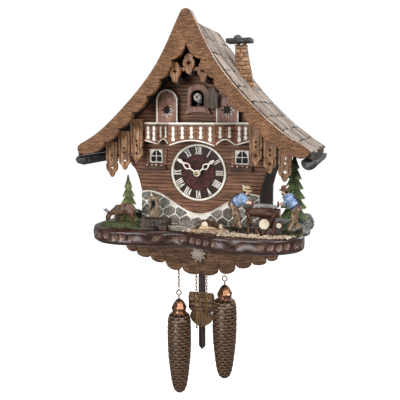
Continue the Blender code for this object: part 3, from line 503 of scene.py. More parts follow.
def lump(centre, radii, material=None, detail=3, tilt=0.0, lean=0.0):
    """Rounded mass from a subdivided icosphere."""
    bpy.ops.mesh.primitive_ico_sphere_add(subdivisions=detail, radius=1.0)
    thing = bpy.context.object
    moved(thing, shift(centre) @ spin(tilt, "Y")
          @ spin(lean, "X") @ Matrix.Diagonal((*radii, 1.0)))
    return rounded(wear(thing, material) if material else thing, 60)


def roughen(thing, size, depth, kind="CLOUDS"):
    """Displace the surface with a solid noise texture."""
    texture = bpy.data.textures.new("rough", kind)
    texture.noise_scale = size
    return bake_in(thing, "DISPLACE", texture=texture, strength=depth, mid_level=0.5,
                   texture_coords="LOCAL")


def melted(parts, voxel=0.6, smooth=4, material=None):
    """Blend overlapping parts into one carved body."""
    thing = joined(parts)
    bake_in(thing, "REMESH", mode="VOXEL", voxel_size=voxel)
    if smooth:
        bake_in(thing, "SMOOTH", factor=0.5, iterations=smooth)
    wear(thing, material)
    return rounded(thing, 70)


def wire(points, thickness, material=None, closed=False, resolution=2):
    """Round moulding or wire along a line of points."""
    curve = bpy.data.curves.new("wire", "CURVE")
    curve.dimensions = "3D"
    curve.bevel_depth = thickness
    curve.bevel_resolution = resolution
    curve.use_fill_caps = True
    spline = curve.splines.new("POLY")
    spline.points.add(len(points) - 1)
    spline.use_cyclic_u = closed
    for point, place in zip(spline.points, points):
        point.co = (*place, 1.0)
    thing = meshed(curve, 0.001)
    return rounded(wear(thing, material) if material else thing)


# ---------------------------------------------------------------- outlines

def smooth_line(points, steps=6):
    """Catmull-Rom curve through open points."""
    ends = [points[0], *points, points[-1]]
    curve = []
    for b, s, e, a in zip(ends, ends[1:], ends[2:], ends[3:]):
        for step in range(steps):
            t = step / steps
            curve.append(tuple(0.5 * (2 * q + (r - p) * t + (2 * p - 5 * q + 4 * r - w) * t * t
                                      + (3 * q - p - 3 * r + w) * t ** 3)
                               for p, q, r, w in zip(b, s, e, a)))
    return curve + [points[-1]]


def arc(centre, radius, start, end, steps=16):
    """Points along a circle between two angles in degrees."""
    return [(centre[0] + radius * math.cos(math.radians(start + (end - start) * s / steps)),
             centre[1] + radius * math.sin(math.radians(start + (end - start) * s / steps)))
            for s in range(steps + 1)]


def circle(centre, radius, steps=24):
    """Closed circle of points."""
    return arc(centre, radius, 0, 360 - 360 / steps, steps - 1)


def both_hands(x, half, foot=0.0):
    """Closed outline from its right half, given as (reach, height) from a point."""
    return [(x + w, foot + z) for w, z in half] + [(x - w, foot + z) for w, z in reversed(half)]


def mirrored(half):
    """Outline completed by its mirror image across x = 0."""
    return half + [(-x, z) for x, z in reversed(half) if abs(x) > 1e-6]


def arch(half_width, sill, top, centre_x=0.0, steps=20):
    """Round-headed opening from its sill to its top."""
    return ([(centre_x - half_width, sill), (centre_x + half_width, sill)]
            + arc((centre_x, top - half_width), half_width, 0, 180, steps))


def diamond(x, z, size, tall=1.3):
    """Upright four-cornered hole."""
    return [(x - size, z), (x, z - size * tall), (x + size, z), (x, z + size * tall)]


roof_low, roof_high = edges("roof_left")
RIDGE_Z = roof_high.z + 1.2
ROOF_REACH = -roof_low.x
ROOF_BACK, ROOF_FRONT = roof_high.y, roof_low.y


def roof_top(x):
    """Height of the roof surface at a distance from the ridge."""
    return RIDGE_Z - 1.45 * x + 0.0025 * x * x


def roof_under(x):
    """Height of the underside of the roof at a distance from the ridge."""
    return roof_top(x) - 16.0 + 9.0 * x / ROOF_REACH


def roof_reach(z, under=True):
    """Distance from the ridge at which the roof comes down to a height."""
    low, high = 0.0, ROOF_REACH
    for _ in range(30):
        middle = (low + high) / 2
        if (roof_under(middle) if under else roof_top(middle)) > z:
            low = middle
        else:
            high = middle
    return low


def stone_edge(x):
    """Height of the wavy top of the rubble wall."""
    return -43.0 - 15.5 * math.cos(math.pi * x / 75.0)


# ---------------------------------------------------------------- gable, roof and chimney

def gable():
    """Two carved barge boards with scalloped inner edges, and the three purlin ends behind them."""
    low, high = edges("gable_board")
    outer = smooth_line([(0, 213.7), (5.5, 211.5), (9.5, 205), (17, 190), (27.5, 169), (43, 143),
                         (63.5, 117), (86.5, 93), (111, 70), (133, 53), (153, 42)], 5)
    tip = smooth_line([(158.5, 37.5), (157.5, 31), (153, 27), (147, 26.2), (141.6, 28.2)], 4)
    cusps = [(141, 28), (116.6, 43.1), (95.5, 61.6), (74.5, 82.5), (53.8, 103.6), (35.5, 125.0),
             (18.6, 149.9)]
    inner = []
    for (x0, z0), (x1, z1) in zip(cusps, cusps[1:]):
        run = math.hypot(x1 - x0, z1 - z0)
        along, across = ((x1 - x0) / run, (z1 - z0) / run), (-(z1 - z0) / run, (x1 - x0) / run)
        for step in range(1, 12):
            part = step / 12
            bulge = 4.6 * math.sin(math.pi * part) ** 0.7 - 0.6
            inner.append((x0 + along[0] * run * part + across[0] * bulge,
                          z0 + along[1] * run * part + across[1] * bulge))
        inner.append((x1 - across[0] * 1.6, z1 - across[1] * 1.6))
        inner.append((x1 - across[0] * 0.8 + along[0] * 0.9, z1 - across[1] * 0.8 + along[1] * 0.9))
    ogee = smooth_line([(17.6, 150.6), (12.5, 152.6), (6.5, 157.5), (2.6, 164), (0, 170.5)], 4)
    board = plate(mirrored(outer + tip + inner + ogee), high.y, low.y, 0.8, material=GABLE)
    mark(board, "tip", 0.0)
    # Pale strip along the outer edge of the boards: painted highlight where light catches their upper edge.
    lit_edge = wire([(x + 0.1, low.y + 0.7, z - 0.4) for x, z in outer[4:] + tip[:2]], 0.7, GABLE)
    board = joined([board, mark(lit_edge, "tip", lambda co: 0.5 + 0.5 * noise.noise(co * 0.12))])
    settle(board, "gable_boards", stands_for=["gable_board"])
    beams = []
    for x, z in ((0, 137.5), (-19, 127.0), (19, 127.0)):
        beams.append(turned([(5.0, 0), (6.2, 1.0), (6.2, 26), (5.6, 27)], 20, BARK,
                            shift((x, -119.0, z)) @ spin(90, "X")))
    settle(joined(beams), "purlin_ends")


COURSES = 9


def roof_course(k):
    """Distance from the ridge of the upper edge of a course of shingles."""
    return ROOF_REACH * (k / COURSES) ** 1.08


def shingles():
    """Split shingles laid in courses over the two roof halves, with painted shade at their butt ends."""
    draw = random.Random(11)
    blank = block((-0.5, -0.5, -0.5), (0.5, 0.5, 0.5), 0.09, SHINGLE, 1)
    for side, sign in SIDES.items():
        laid = []
        for k in range(COURSES):
            x0, x1 = roof_course(k), roof_course(k + 1)
            rise = (roof_top(x1) + 1.0) - (roof_top(x0) - 1.0)
            length = math.hypot(x1 - x0, rise)
            slope = math.atan2(-rise, x1 - x0)
            y = ROOF_BACK
            while y > ROOF_FRONT + 2:
                width = min(draw.uniform(7.5, 13.5), y - ROOF_FRONT)
                long = length + 2.5 + draw.uniform(-3.2, 1.8)
                thick = draw.uniform(2.2, 3.6)
                lift = draw.uniform(-1.2, 1.2)
                matrix = (shift((sign * x0, y - width / 2, roof_top(x0) - 1.0))
                          @ Matrix.Scale(sign, 4, (1, 0, 0)) @ Matrix.Rotation(slope, 4, "Y")
                          @ shift((long / 2 - 1.5, 0, 0.9))
                          @ spin(lift, "Z")
                          @ spin(3.2, "Y")
                          @ Matrix.Diagonal((long, width - draw.uniform(0.3, 0.9), thick, 1)))
                one = copy_of(blank)
                # the "tip" mark on the lower end and underside of each shingle is painted shadow under the
                # butt
                mark(one, "tip", lambda co: 1.0 if co.x > 0.42 and co.z < 0.45 else 0.0)
                moved(one, matrix)
                mark(one, "tint", draw.random())
                laid.append(one)
                y -= width
        roof = joined(laid)
        edit(roof)
        bpy.ops.mesh.normals_make_consistent(inside=False)
        done()
        settle(roof, f"shingles_{side}")
        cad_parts[f"roof_{side}"].data.materials[0] = SHINGLE_BED
    drop(blank)
    caps = []
    y = ROOF_BACK
    while y > ROOF_FRONT + 4:
        long = min(24, y - ROOF_FRONT)
        for sign in (-1, 1):
            cap = plate([(sign * x, z) for x, z in ((0, RIDGE_Z + 2.4), (8, roof_top(8) + 3.4),
                                                   (8.6, roof_top(8) + 1.4), (0, RIDGE_Z + 0.2))],
                        y, y - long + 0.6, 0.25, material=SHINGLE)
            caps.append(mark(mark(cap, "tint", draw.random()), "tip", 0.0))
        y -= long
    settle(joined(caps), "ridge_boards")


EAVE_X = 157.0


def eaves():
    """Slate-grey half-round logs under the eaves, each in three lengths with a stepped nose."""
    for side, sign in SIDES.items():
        low = edges(f"eave_log_{side}")[0]
        top = roof_under(EAVE_X) - 4.0
        body = [(sign * x, min(z, top)) for x, z in arc((EAVE_X, 21.0), 10.0, -200, 20, 28)]
        nose = [(sign * x, min(z, top - 1)) for x, z in arc((EAVE_X, 20.0), 7.0, -190, 10, 24)]
        core = [(sign * x, min(z, top - 2)) for x, z in arc((EAVE_X, 20.0), 4.6, -190, 10, 20)]
        log = [plate(shape, back, front, ease, material=SLATE) for shape, back, front, ease in
               ((body, -4.0, -52.0, 0.8), (body, -53.0, -103.0, 0.8), (body, -104.0, -154.0, 0.8),
                (core, -3.6, -155.0, 0.3), (nose, -150.0, -164.0, 1.2), (core, -160.0, low.y, 0.8))]
        settle(joined(log), f"eave_logs_{side}", stands_for=[f"eave_log_{side}"])


def chimney():
    """Tapered brick stack, and a slate hood with a dome on four legs."""
    low, high = edges("chimney")
    draw, foot = random.Random(5), 114.0

    def width_at(z):
        share = max(0.0, min(1.0, (z - 112.0) / (high.z - 112.0)))
        return 2 * (7.6 + 6.2 * (1 - share) ** 1.1)
    left, front, back = low.x, low.y, high.y
    bricks, count = [], 11
    courses = [foot + (high.z - foot) * k / count for k in range(count + 1)]
    for k, (z0, z1) in enumerate(zip(courses, courses[1:])):
        right = left + width_at((z0 + z1) / 2)
        start = max(left, roof_reach(z0 + 7, under=False))
        if start > right - 2:
            continue
        cuts = [left, left + (right - left) * (0.5 if k % 2 else 0.27), right]
        if k % 2 == 0:
            cuts.insert(2, left + (right - left) * 0.73)
        for a, b in zip(cuts, cuts[1:]):
            a = max(a, start)
            if b - a < 1.5:
                continue
            joint = front + (5.0 if k % 2 else 9.5)
            for y0, y1 in ((front, joint), (joint, back)):
                brick = block((a + 0.3, y0 + 0.3, z0 + 0.35), (b - 0.3, y1 - 0.3, z1 - 0.3), 0.55, BRICK)
                bricks.append(mark(brick, "tint", draw.random()))
    outline = [(left + 0.6, roof_top(left) - 4), (left + width_at(foot) - 0.6, foot)]
    outline += [(left + width_at(z) - 0.6, z) for z in courses[1:-1]]
    outline += [(left + width_at(high.z) - 0.6, high.z - 0.4), (left + 0.6, high.z - 0.4)]
    bricks.append(plate(outline, back - 0.6, front + 0.6, 0.1, material=MORTAR))
    bricks.append(block((left - 0.4, front - 0.3, high.z - 1.2),
                        (left + width_at(high.z) + 0.4, back + 0.3, high.z), 0.4, MORTAR))
    settle(joined(bricks), "chimney_bricks", stands_for=["chimney"])

    low, high = edges("chimney_cap")
    slab_z = low.z + 2.7
    cap = [block((low.x, low.y, slab_z), (high.x, high.y, slab_z + 6), 1.2, SLATE, 3)]
    bake_in(cap[0], "SUBSURF", levels=2, render_levels=2, subdivision_type="SIMPLE")
    roughen(cap[0], 5.0, 0.9)
    for x in (46.5, 55.5):
        for y in (-67.5, -75.5):
            cap.append(block((x - 1.5, y - 1.5, low.z), (x + 1.5, y + 1.5, slab_z + 1), 0.3, BRICK))
    middle = (low.x + high.x) / 2 - 3
    cap.append(turned([(6.6, 0), (6.4, 1.2), (5.4, 3.4), (3.4, 5.0), (0.6, 5.8), (0.05, 5.9)], 20, SLATE,
                      shift((middle, (low.y + high.y) / 2, slab_z + 5.6))))
    settle(joined(cap), "chimney_hood", stands_for=["chimney_cap"])


def hanging_board(x, tip, half, y_back, holes):
    """One pierced board with a pointed lower end."""
    return plate(both_hands(x, half, tip), y_back, y_back - 5.0, 0.55, holes, GABLE_PALE)


def hanging_boards():
    """Pierced boards under the gable apex and under the eaves."""
    leaf = [(2.0, 0), (3.2, 1.2), (4.4, 6.0)]
    leaf += smooth_line([(5.6, 7.6), (7.8, 10.8), (8.2, 14.5), (7.4, 18)], 3)
    leaf += [(5.4, 19), (6.2, 20.8), (5.4, 23), (2.6, 26)]
    hung = [hanging_board(x, tip, leaf, -150, [star(x, tip + 14, 4, 3.8, 1.7)])
            for x, tip in ((0, 133), (-19.5, 122.5), (19.5, 122.5))]
    hung.append(block((-24, -150.3, 137), (26, -147, 142), 0.5, GABLE_PALE))
    settle(joined(hung), "apex_hanging_boards", stands_for=["apex_boards"])
    for side, sign in SIDES.items():
        hung = []
        for x, tip in ((123.7, -7.5), (103.8, 3.2), (84.9, 13.6)):
            top = roof_under(x + 9.5) - 0.6 - tip
            right = [(0.8, 0), (2.6, 1.8), (4.6, 6.4)] + smooth_line([(5.8, 7.6), (8.0, 10.6), (8.6, 15)],
                                                                     3)
            notch = [(8.6, 19), (7.0, 20), (7.0, 21.4), (8.6, 22.4)]
            holes = [star(sign * x, tip + 13, 4, 3.4, 1.6), circle((sign * x, tip + 24.5), 1.5, 12),
                     [(sign * x - 2.2, tip + 32), (sign * x + 2.2, tip + 32), (sign * x, tip + 28)]]
            holes = [h for h in holes if max(z for _, z in h) < tip + top - 2]
            hung.append(hanging_board(sign * x, tip, right + notch + [(8.6, top)], -128, holes))
            for dx in (-5.2, 5.2):
                hung.append(block((sign * x + dx - 0.35, -133.25, tip + 12),
                                  (sign * x + dx + 0.35, -132.6, tip + top - 3), 0.1, GROOVE))
        lower, upper = sorted((sign * 78, sign * 130))
        hung.append(block((lower, -128.3, 38), (upper, -123, 43), 0.4, TRIM))
        settle(joined(hung), f"eave_hanging_boards_{side}",
               stands_for=[f"eave_boards_{side}"])


# ---------------------------------------------------------------- front of the house

DOORWAY = (9.4, 91.7, 113.4)
ARBOR_HOLE = 4.6


def wall_reach(z):
    """Half width of the facade at a height, from foot to roof."""
    foot = ((-74.7, 87.0), (-28.0, 87.0), (-12.0, 91.0), (2.0, 96.0), (10.0, 104.0), (66.0, 104.0))
    if z <= 66.0 and roof_reach(z + 0.6) > 104.0:
        for (z0, x0), (z1, x1) in zip(foot, foot[1:]):
            if z <= z1:
                return x0 + (x1 - x0) * max(0.0, z - z0) / (z1 - z0)
    return min(104.0, roof_reach(z + 0.6))


def facade():
    """Log planks with dark grooves, nailed on a core board."""
    low, high = edges("facade")
    front, back = low.y, high.y
    _, sill, crown = DOORWAY
    pitch = 5.2
    planks = []
    count = int((high.z - low.z) / pitch)
    for k in range(count):
        z0 = low.z + pitch * k + 0.15
        z1 = z0 + pitch - 0.3
        w0, w1 = wall_reach(z0) - 0.3, wall_reach(z1) - 0.3
        gap = 10.5 if z1 > sill and z0 < crown else 5.6 if z1 > -5.5 and z0 < 5.5 else 0
        if gap:
            shapes = [[(sign * gap, z0), (sign * w0, z0), (sign * w1, z1), (sign * gap, z1)]
                      for sign in (-1, 1)]
        else:
            shapes = [[(-w0, z0), (w0, z0), (w1, z1), (-w1, z1)]]
        planks += [plate(shape, front + 2.2, front, 0.75, material=PLANK) for shape in shapes]
    heights = [low.z + (high.z - low.z) * s / 40 for s in range(41)]
    half = [(0.0, low.z)] + [(wall_reach(z), z) for z in heights] + [(0.0, high.z)]
    core = plate(mirrored(half), back, front + 1.2, 0.1,
                 [arch(9.3, sill, crown), circle((0, 0), ARBOR_HOLE)], GROOVE)
    settle(joined(planks + [core]), "facade_planks", stands_for=["facade"])


def clipped(cell, point, normal):
    """The part of a convex outline behind a line."""
    kept = []
    for (x0, z0), (x1, z1) in zip(cell, cell[1:] + cell[:1]):
        d0 = (x0 - point[0]) * normal[0] + (z0 - point[1]) * normal[1]
        d1 = (x1 - point[0]) * normal[0] + (z1 - point[1]) * normal[1]
        if d0 <= 0:
            kept.append((x0, z0))
        if d0 * d1 < 0:
            t = d0 / (d0 - d1)
            kept.append((x0 + (x1 - x0) * t, z0 + (z1 - z0) * t))
    return kept


WALL_HALF = 86
STONE_WIDE, STONE_TALL, MORTAR_HALF = 17.5, 12.4, 0.8


def stone_wall():
    """Rubble stones in pale mortar, with a raised border along the curved top."""
    low, high = edges("stone_wall")
    front, back, foot = low.y, high.y, low.z
    draw = random.Random(23)
    seeds = []
    for row in range(5):
        for column in range(-6, 7):
            x = (column + (0.5 if row % 2 else 0.0)) * STONE_WIDE + draw.uniform(-3.2, 3.2)
            z = foot + 6.0 + row * STONE_TALL + draw.uniform(-2.4, 2.4)
            if abs(x) < 92:
                seeds.append((x, z))
    stones = []
    for x, z in seeds:
        edge = stone_edge(min(84, abs(x)))
        if z > edge - 1.5:
            continue
        cell = [(-WALL_HALF, foot + 0.8), (WALL_HALF, foot + 0.8), (WALL_HALF, 0), (-WALL_HALF, 0)]
        for ox, oz in seeds:
            if (ox, oz) == (x, z) or abs(ox - x) > 44:
                continue
            away = math.hypot(ox - x, oz - z)
            normal = ((ox - x) / away, (oz - z) / away)
            cell = clipped(cell, ((ox + x) / 2 - normal[0] * MORTAR_HALF,
                                  (oz + z) / 2 - normal[1] * MORTAR_HALF), normal)
            if not cell:
                break
        slope = (stone_edge(abs(x) + 1) - stone_edge(abs(x) - 1 if abs(x) > 1 else 0)) / 2 * (1 if x > 0
                                                                                              else -1)
        tilt = math.hypot(slope, 1)
        cell = clipped(cell, (x, edge - 2.4), (-slope / tilt, 1 / tilt)) if cell else cell
        if len(cell) < 3:
            continue
        smooth = []
        for (x0, z0), (x1, z1) in zip(cell, cell[1:] + cell[:1]):
            for t in (0.12, 0.5, 0.88):
                smooth.append((x0 + (x1 - x0) * t, z0 + (z1 - z0) * t))
        if min(max(values) - min(values) for values in zip(*cell)) < 2.5:
            continue
        stone = plate(smooth, back - 0.5, front, 0.8, material=STONE)
        stones.append(mark(stone, "tint", draw.random()))
    edge = [(x, stone_edge(x)) for x in range(0, 85, 3)]
    half = [(0.0, foot), (86.5, foot), (86.5, -29.5), *reversed(edge)]
    bed = plate(mirrored(half), back, front + 1.0, 0.2, material=CREAM)
    rim = [(x, front + 0.6, stone_edge(abs(x)) - 0.8) for x in range(-84, 85, 3)]
    border = wire(rim, 0.9, CREAM)
    sill = block((-WALL_HALF, front - 0.1, foot), (WALL_HALF, back, foot + 1.3), 0.3, CREAM)
    settle(joined([bed, border, sill] + stones), "rubble_wall", stands_for=["stone_wall"])


def baluster(x, foot, top):
    """Flat turned-baluster outline."""
    half = [(1.0, 0), (2.1, 0.06), (2.4, 0.15), (2.0, 0.25), (1.0, 0.33), (1.9, 0.42), (2.2, 0.5),
            (1.9, 0.58), (1.0, 0.67), (1.8, 0.76), (2.1, 0.86), (1.6, 0.96), (1.0, 1.0)]
    return both_hands(x, [(w, (top - foot) * t) for w, t in half], foot)


def balcony():
    """Railed front in five bays, with flat balusters, a cream rail and an arched lower edge."""
    low, high = edges("balcony_front")
    top = high.z
    corners = [(high.x, -126.2), (55.7, -126.2), (32.3, low.y)]
    plan = [(-x, y) for x, y in corners] + corners[::-1]
    sills = [44.4, 39.1, 38.6, 38.6, 39.1, 44.4]
    rises = [0.0, 8.0, 7.0, 8.0, 0.0]
    bays = [2, 2, 5, 2, 2]
    wood, paint = [], []
    for n in range(5):
        (x0, y0), (x1, y1) = plan[n], plan[n + 1]
        wide = math.hypot(x1 - x0, y1 - y0)
        stand = (shift((x0, y0, 0)) @ Matrix.Rotation(math.atan2(y1 - y0, x1 - x0), 4, "Z"))
        steps = 14
        lower = [(wide * s / steps, sills[n] + (sills[n + 1] - sills[n]) * s / steps
                  + rises[n] * math.sin(math.pi * s / steps)) for s in range(steps + 1)]
        board = plate([(0.15, lower[0][1]), *lower[1:-1], (wide - 0.15, lower[-1][1]), (wide - 0.15, top),
                       (0.15, top)],
                      3.2, 0.9, 0.3, material=PLANK)
        wood.append(moved(board, stand))
        edge = wire([(x, 0.6, z + 0.7) for x, z in lower], 0.85, CREAM)
        paint.append(moved(edge, stand))
        for k in range(bays[n]):
            x = wide * (k + 0.5) / bays[n] if n == 2 else wide * (k + 0.6) / (bays[n] + 0.2)
            foot = max(z for p, z in lower if abs(p - x) < wide / steps + 1.2) + 3.0
            paint.append(moved(plate(baluster(x, foot, top - 5.5), 1.2, 0.1, 0.3, material=CREAM), stand))
            if k:
                groove = wide * k / bays[n]
                wood.append(moved(block((groove - 0.25, 0.5, sills[n] + rises[n] + 1),
                                        (groove + 0.25, 1.2, top - 3), 0.1, GROOVE), stand))
        rail = block((-0.2, -0.1, top - 2.6), (wide + 0.2, 3.5, top), 0.7, CREAM)
        paint.append(moved(rail, stand))
        under = block((0, 0.3, top - 4.2), (wide, 2.0, top - 2.6), 0.3, TRIM)
        wood.append(moved(under, stand))
    for x, y in plan[1:-1]:
        post = turned([(1.4, 38), (1.8, 40), (1.1, 44), (1.5, 54), (1.1, 62), (1.7, top - 2)], 12, PLANK,
                      shift((x, y + 1.3, 0)))
        wood.append(post)
    settle(joined(wood), "balcony_boards", stands_for=["balcony_front"])
    settle(joined(paint), "balcony_balusters")
    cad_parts["balcony_floor"].data.materials[0] = PLANK


def star(x, z, points, outer, inner, turn=90):
    """Outline of a star with long and short points by turns."""
    return [(x + r * math.cos(math.radians(turn + 180.0 / points * k)),
             z + r * math.sin(math.radians(turn + 180.0 / points * k)))
            for k, r in ((k, outer if k % 2 == 0 else inner) for k in range(points * 2))]


def scroll(x, y, z, size, hand, turns=1.4):
    """Little carved volute."""
    points = []
    for s in range(22):
        t = s / 21
        r = size * (1 - 0.85 * t)
        a = math.radians(200 - 360 * turns * t)
        points.append((x + hand * r * math.cos(a), y, z + r * math.sin(a)))
    return wire(points, 0.45, DOOR_GREY, resolution=1)


def balcony_doors():
    """Arched doors with a cut-out star, scrolls and a cream border."""
    for side in SIDES:
        low, high = edges(f"balcony_door_{side}")
        x = (low.x + high.x) / 2
        half = (high.x - low.x) / 2
        centre = low.z + 34.3
        parts = [plate(arch(half, low.z, high.z, x), high.y - 3.2, low.y + 1.4, 0.5,
                       [star(x, centre, 8, 9.4, 4.3)], DOOR_RED),
                 plate(arch(half - 4.0, low.z + 1, high.z - 6, x), high.y, low.y + 3.6, 0.2,
                       material=BLACK),
                 plate(arch(half, low.z, high.z, x), high.y - 3.2, low.y, 0.5,
                       [arch(half - 2.0, low.z - 0.2 + 1.4, high.z - 2.0, x)], CREAM)]
        for hand in (-1, 1):
            parts.append(scroll(x + hand * 5.6, low.y + 1.2, high.z - 10.5, 3.0, hand))
            parts.append(scroll(x + hand * 10.4, low.y + 1.2, high.z - 15.5, 2.0, -hand))
            parts.append(wire([(x + hand * d, low.y + 1.3, high.z - 7.0 - d * 0.2) for d in (0, 2, 4, 6)],
                              0.5, DOOR_GREY))
        ray = star(x, centre, 8, 9.6, 4.5)
        for k in range(16):
            (x0, z0), (x1, z1) = ray[k], ray[(k + 1) % 16]
            if (x0 + x1) / 2 - x - ((z0 + z1) / 2 - centre) > -0.5:
                parts.append(wire([(x0, low.y + 1.4, z0), (x1, low.y + 1.4, z1)], 0.42, CREAM,
                                  resolution=1))
        settle(joined(parts), f"balcony_door_carving_{side}",
               stands_for=[f"balcony_door_{side}"])


DOOR_SWING = 155


def cuckoo():
    """Door surround, open door leaf and the bird."""
    low, high = edges("cuckoo_frame")
    half = (smooth_line([(0, low.z + 3.1), (9, low.z + 2.4), (18.5, low.z)], 5)
            + smooth_line([(18.4, low.z + 2.6), (16.6, low.z + 4.6), (14.8, low.z + 8.0)], 3)
            + [(14.6, 112)] + smooth_line([(14.6, 113), (12.4, 117.2), (8, 120.4), (0, high.z)], 4))
    surround = [plate(mirrored(half), high.y, low.y + 1.0, 0.6, [arch(*DOORWAY)], DOOR_RED),
                plate(arch(11.2, 90.6, 115.2), low.y + 1.4, low.y, 0.5, [arch(*DOORWAY)], PLANK)]
    settle(joined(surround), "cuckoo_door_surround", stands_for=["cuckoo_frame"])

    door_low, door_high = edges("cuckoo_door")
    pivot = (11.6, -119.0)
    sill, top = door_low.z, door_high.z
    leaf = [plate(arch(11.4, sill, top, pivot[0] - 11.5), -118.2, -120.0, 0.45, material=DOOR_GREY),
            plate(arch(9.6, sill + 1.6, top - 1.8, pivot[0] - 11.5), -118.4, -117.9, 0.15,
                  material=DOOR_GREY)]
    for z in (sill + 5, top - 9):
        leaf.append(block((pivot[0] - 4.0, -120.3, z), (pivot[0], -119.8, z + 1.6), 0.15, BRASS))
    hinge = shift(Vector((*pivot, 0)))
    leaf = moved(joined(leaf), hinge @ spin(DOOR_SWING, "Z") @ hinge.inverted())
    settle(leaf, "cuckoo_door_leaf", "cuckoo_door", ["cuckoo_door"])

    low, high = edges("cuckoo_bird")
    body = melted([lump((0.5, -116.8, 103.8), (5.9, 5.4, 5.8)), lump((0.3, -110.5, 101.5), (4.8, 6.5, 5.0)),
                   lump((0.2, -104.5, 99.8), (5.0, 8.0, 4.6), tilt=0),
                   limb((0, -100.5, 100.4), (0, -88.6, 103.4), 2.8, 1.2)], 0.45, 5, WHITE)
    for sign in (-1, 1):
        wing = roughen(lump((sign * 4.4, -105.0, 100.2), (1.3, 7.2, 3.2), DEER, 3, lean=-8), 2.0, 0.5)
        body = joined([body, wing, lump((0.5 + sign * 2.7, -121.2, 106.2), (0.75, 0.6, 0.75), BLACK, 2)])
    beak = [limb((0.5, -121.0, 104.6), (0.5, low.y + 0.3, 103.9), 1.9, 0.35, 10, BEAK),
            limb((0.5, -120.6, 103.2), (0.5, low.y + 1.6, 102.4), 1.3, 0.3, 10, BEAK)]
    settle(joined([body] + beak), "cuckoo_bird_painted", "cuckoo", ["cuckoo_bird"])


def windows():
    """Small windows with frame, curtains, shutters and a flower box."""
    draw = random.Random(3)
    for side in SIDES:
        low, high = edges(f"window_{side}")
        x = (low.x + high.x) / 2
        back = high.y
        z0, z1 = high.z - 19.6, high.z - 0.8
        outer = [(x - 9.4, z0), (x + 9.4, z0), (x + 9.4, z1), (x - 9.4, z1)]
        inner = [(x - 8.2, z0 + 1.3), (x + 8.2, z0 + 1.3), (x + 8.2, z1 - 1.3), (x - 8.2, z1 - 1.3)]
        glass = [plate(outer, back, back - 0.9, 0.05, material=BLACK)]
        lace = []
        for hand in (-1, 1):
            drape = [(x + hand * w, z) for w,
                     z in ((8.3, z1 - 1.2), (8.3, z0 + 7.5), (7.4, z0 + 9.5), (6.2, z0 + 13.5),
                                                    (3.4, z1 - 2.6), (2.8, z1 - 1.2))]
            lace.append(plate(drape, back - 0.8, back - 1.3, 0.12, material=CREAM))
            shutter = [(x + hand * w, z) for w,
                       z in ((9.6, z0 - 0.8), (15.4, z0 - 0.8), (15.4, z1 + 0.8), (9.6, z1 + 0.8))]
            glass.append(plate(shutter, back, back - 1.6, 0.35, material=DOOR_RED))
            for k in range(5):
                z = z0 + 2.0 + k * 3.6
                glass.append(block((x + hand * 12.2 - 2.3, back - 2.0, z),
                                   (x + hand * 12.2 + 2.3, back - 1.4, z + 2.4), 0.25, PLANK))
        bars = [plate(outer, back, back - 3.1, 0.35, [inner], CREAM),
                block((x - 0.5, back - 2.6, z0 + 1), (x + 0.5, back - 1.0, z1 - 1), 0.15, CREAM),
                block((x - 8.4, back - 2.6, (z0 + z1) / 2 - 0.5),
                      (x + 8.4, back - 1.0, (z0 + z1) / 2 + 0.5), 0.15, CREAM)]
        box = [block((x - 15, low.y, low.z), (x + 15, back, low.z + 6.2), 0.5, LOG_SIDE)]
        for k in range(16):
            spot = (x - 13.4 + k * 1.8 + draw.uniform(-0.4, 0.4), low.y + draw.uniform(0.8, 4.6), low.z
                    + 6.4 + draw.uniform(-0.4, 0.5))
            box.append(lump(spot, (1.5, 1.2, 1.3), MOSS if k % 2 else (FLOWER if k % 4 else CREAM), 1))
        settle(joined(glass + box), f"window_shutters_{side}",
               stands_for=[f"window_{side}"])
        settle(joined(bars + lace), f"window_frame_{side}")


# ---------------------------------------------------------------- dial and hands

NUMERALS = ("XII", "I", "II", "III", "IIII", "V", "VI", "VII", "VIII", "IX", "X", "XI")
NUMERAL_TALL, NUMERAL_FOOT = 10.6, 25.4
LETTER_WIDTH = {"I": 2.5, "V": 5.0, "X": 5.0}


def stroke(x0, z0, x1, z1, thick):
    """One slanting stroke of a letter."""
    return [(x0 - thick / 2, z0), (x0 + thick / 2, z0), (x1 + thick / 2, z1), (x1 - thick / 2, z1)]


def letter(kind, x, tall):
    """Strokes of a seriffed roman letter centred at x, standing on z = 0."""
    bold, thin, lean = 1.35, 0.8, 1.55

    def serif(at, z):
        return [(at - 1.2, z), (at + 1.2, z), (at + 1.05, z + 0.6), (at - 1.05, z + 0.6)]
    if kind == "I":
        return [stroke(x, 0, x, tall, bold), serif(x, 0), serif(x, tall - 0.6)]
    if kind == "V":
        return [stroke(x, 0, x - lean, tall, bold), stroke(x, 0, x + lean, tall, thin),
                serif(x - lean, tall - 0.6), serif(x + lean, tall - 0.6)]
    return [stroke(x + lean, 0, x - lean, tall, bold), stroke(x - lean, 0, x + lean, tall, thin),
            serif(x - lean, tall - 0.6), serif(x + lean, tall - 0.6), serif(x - lean, 0),
            serif(x + lean, 0)]


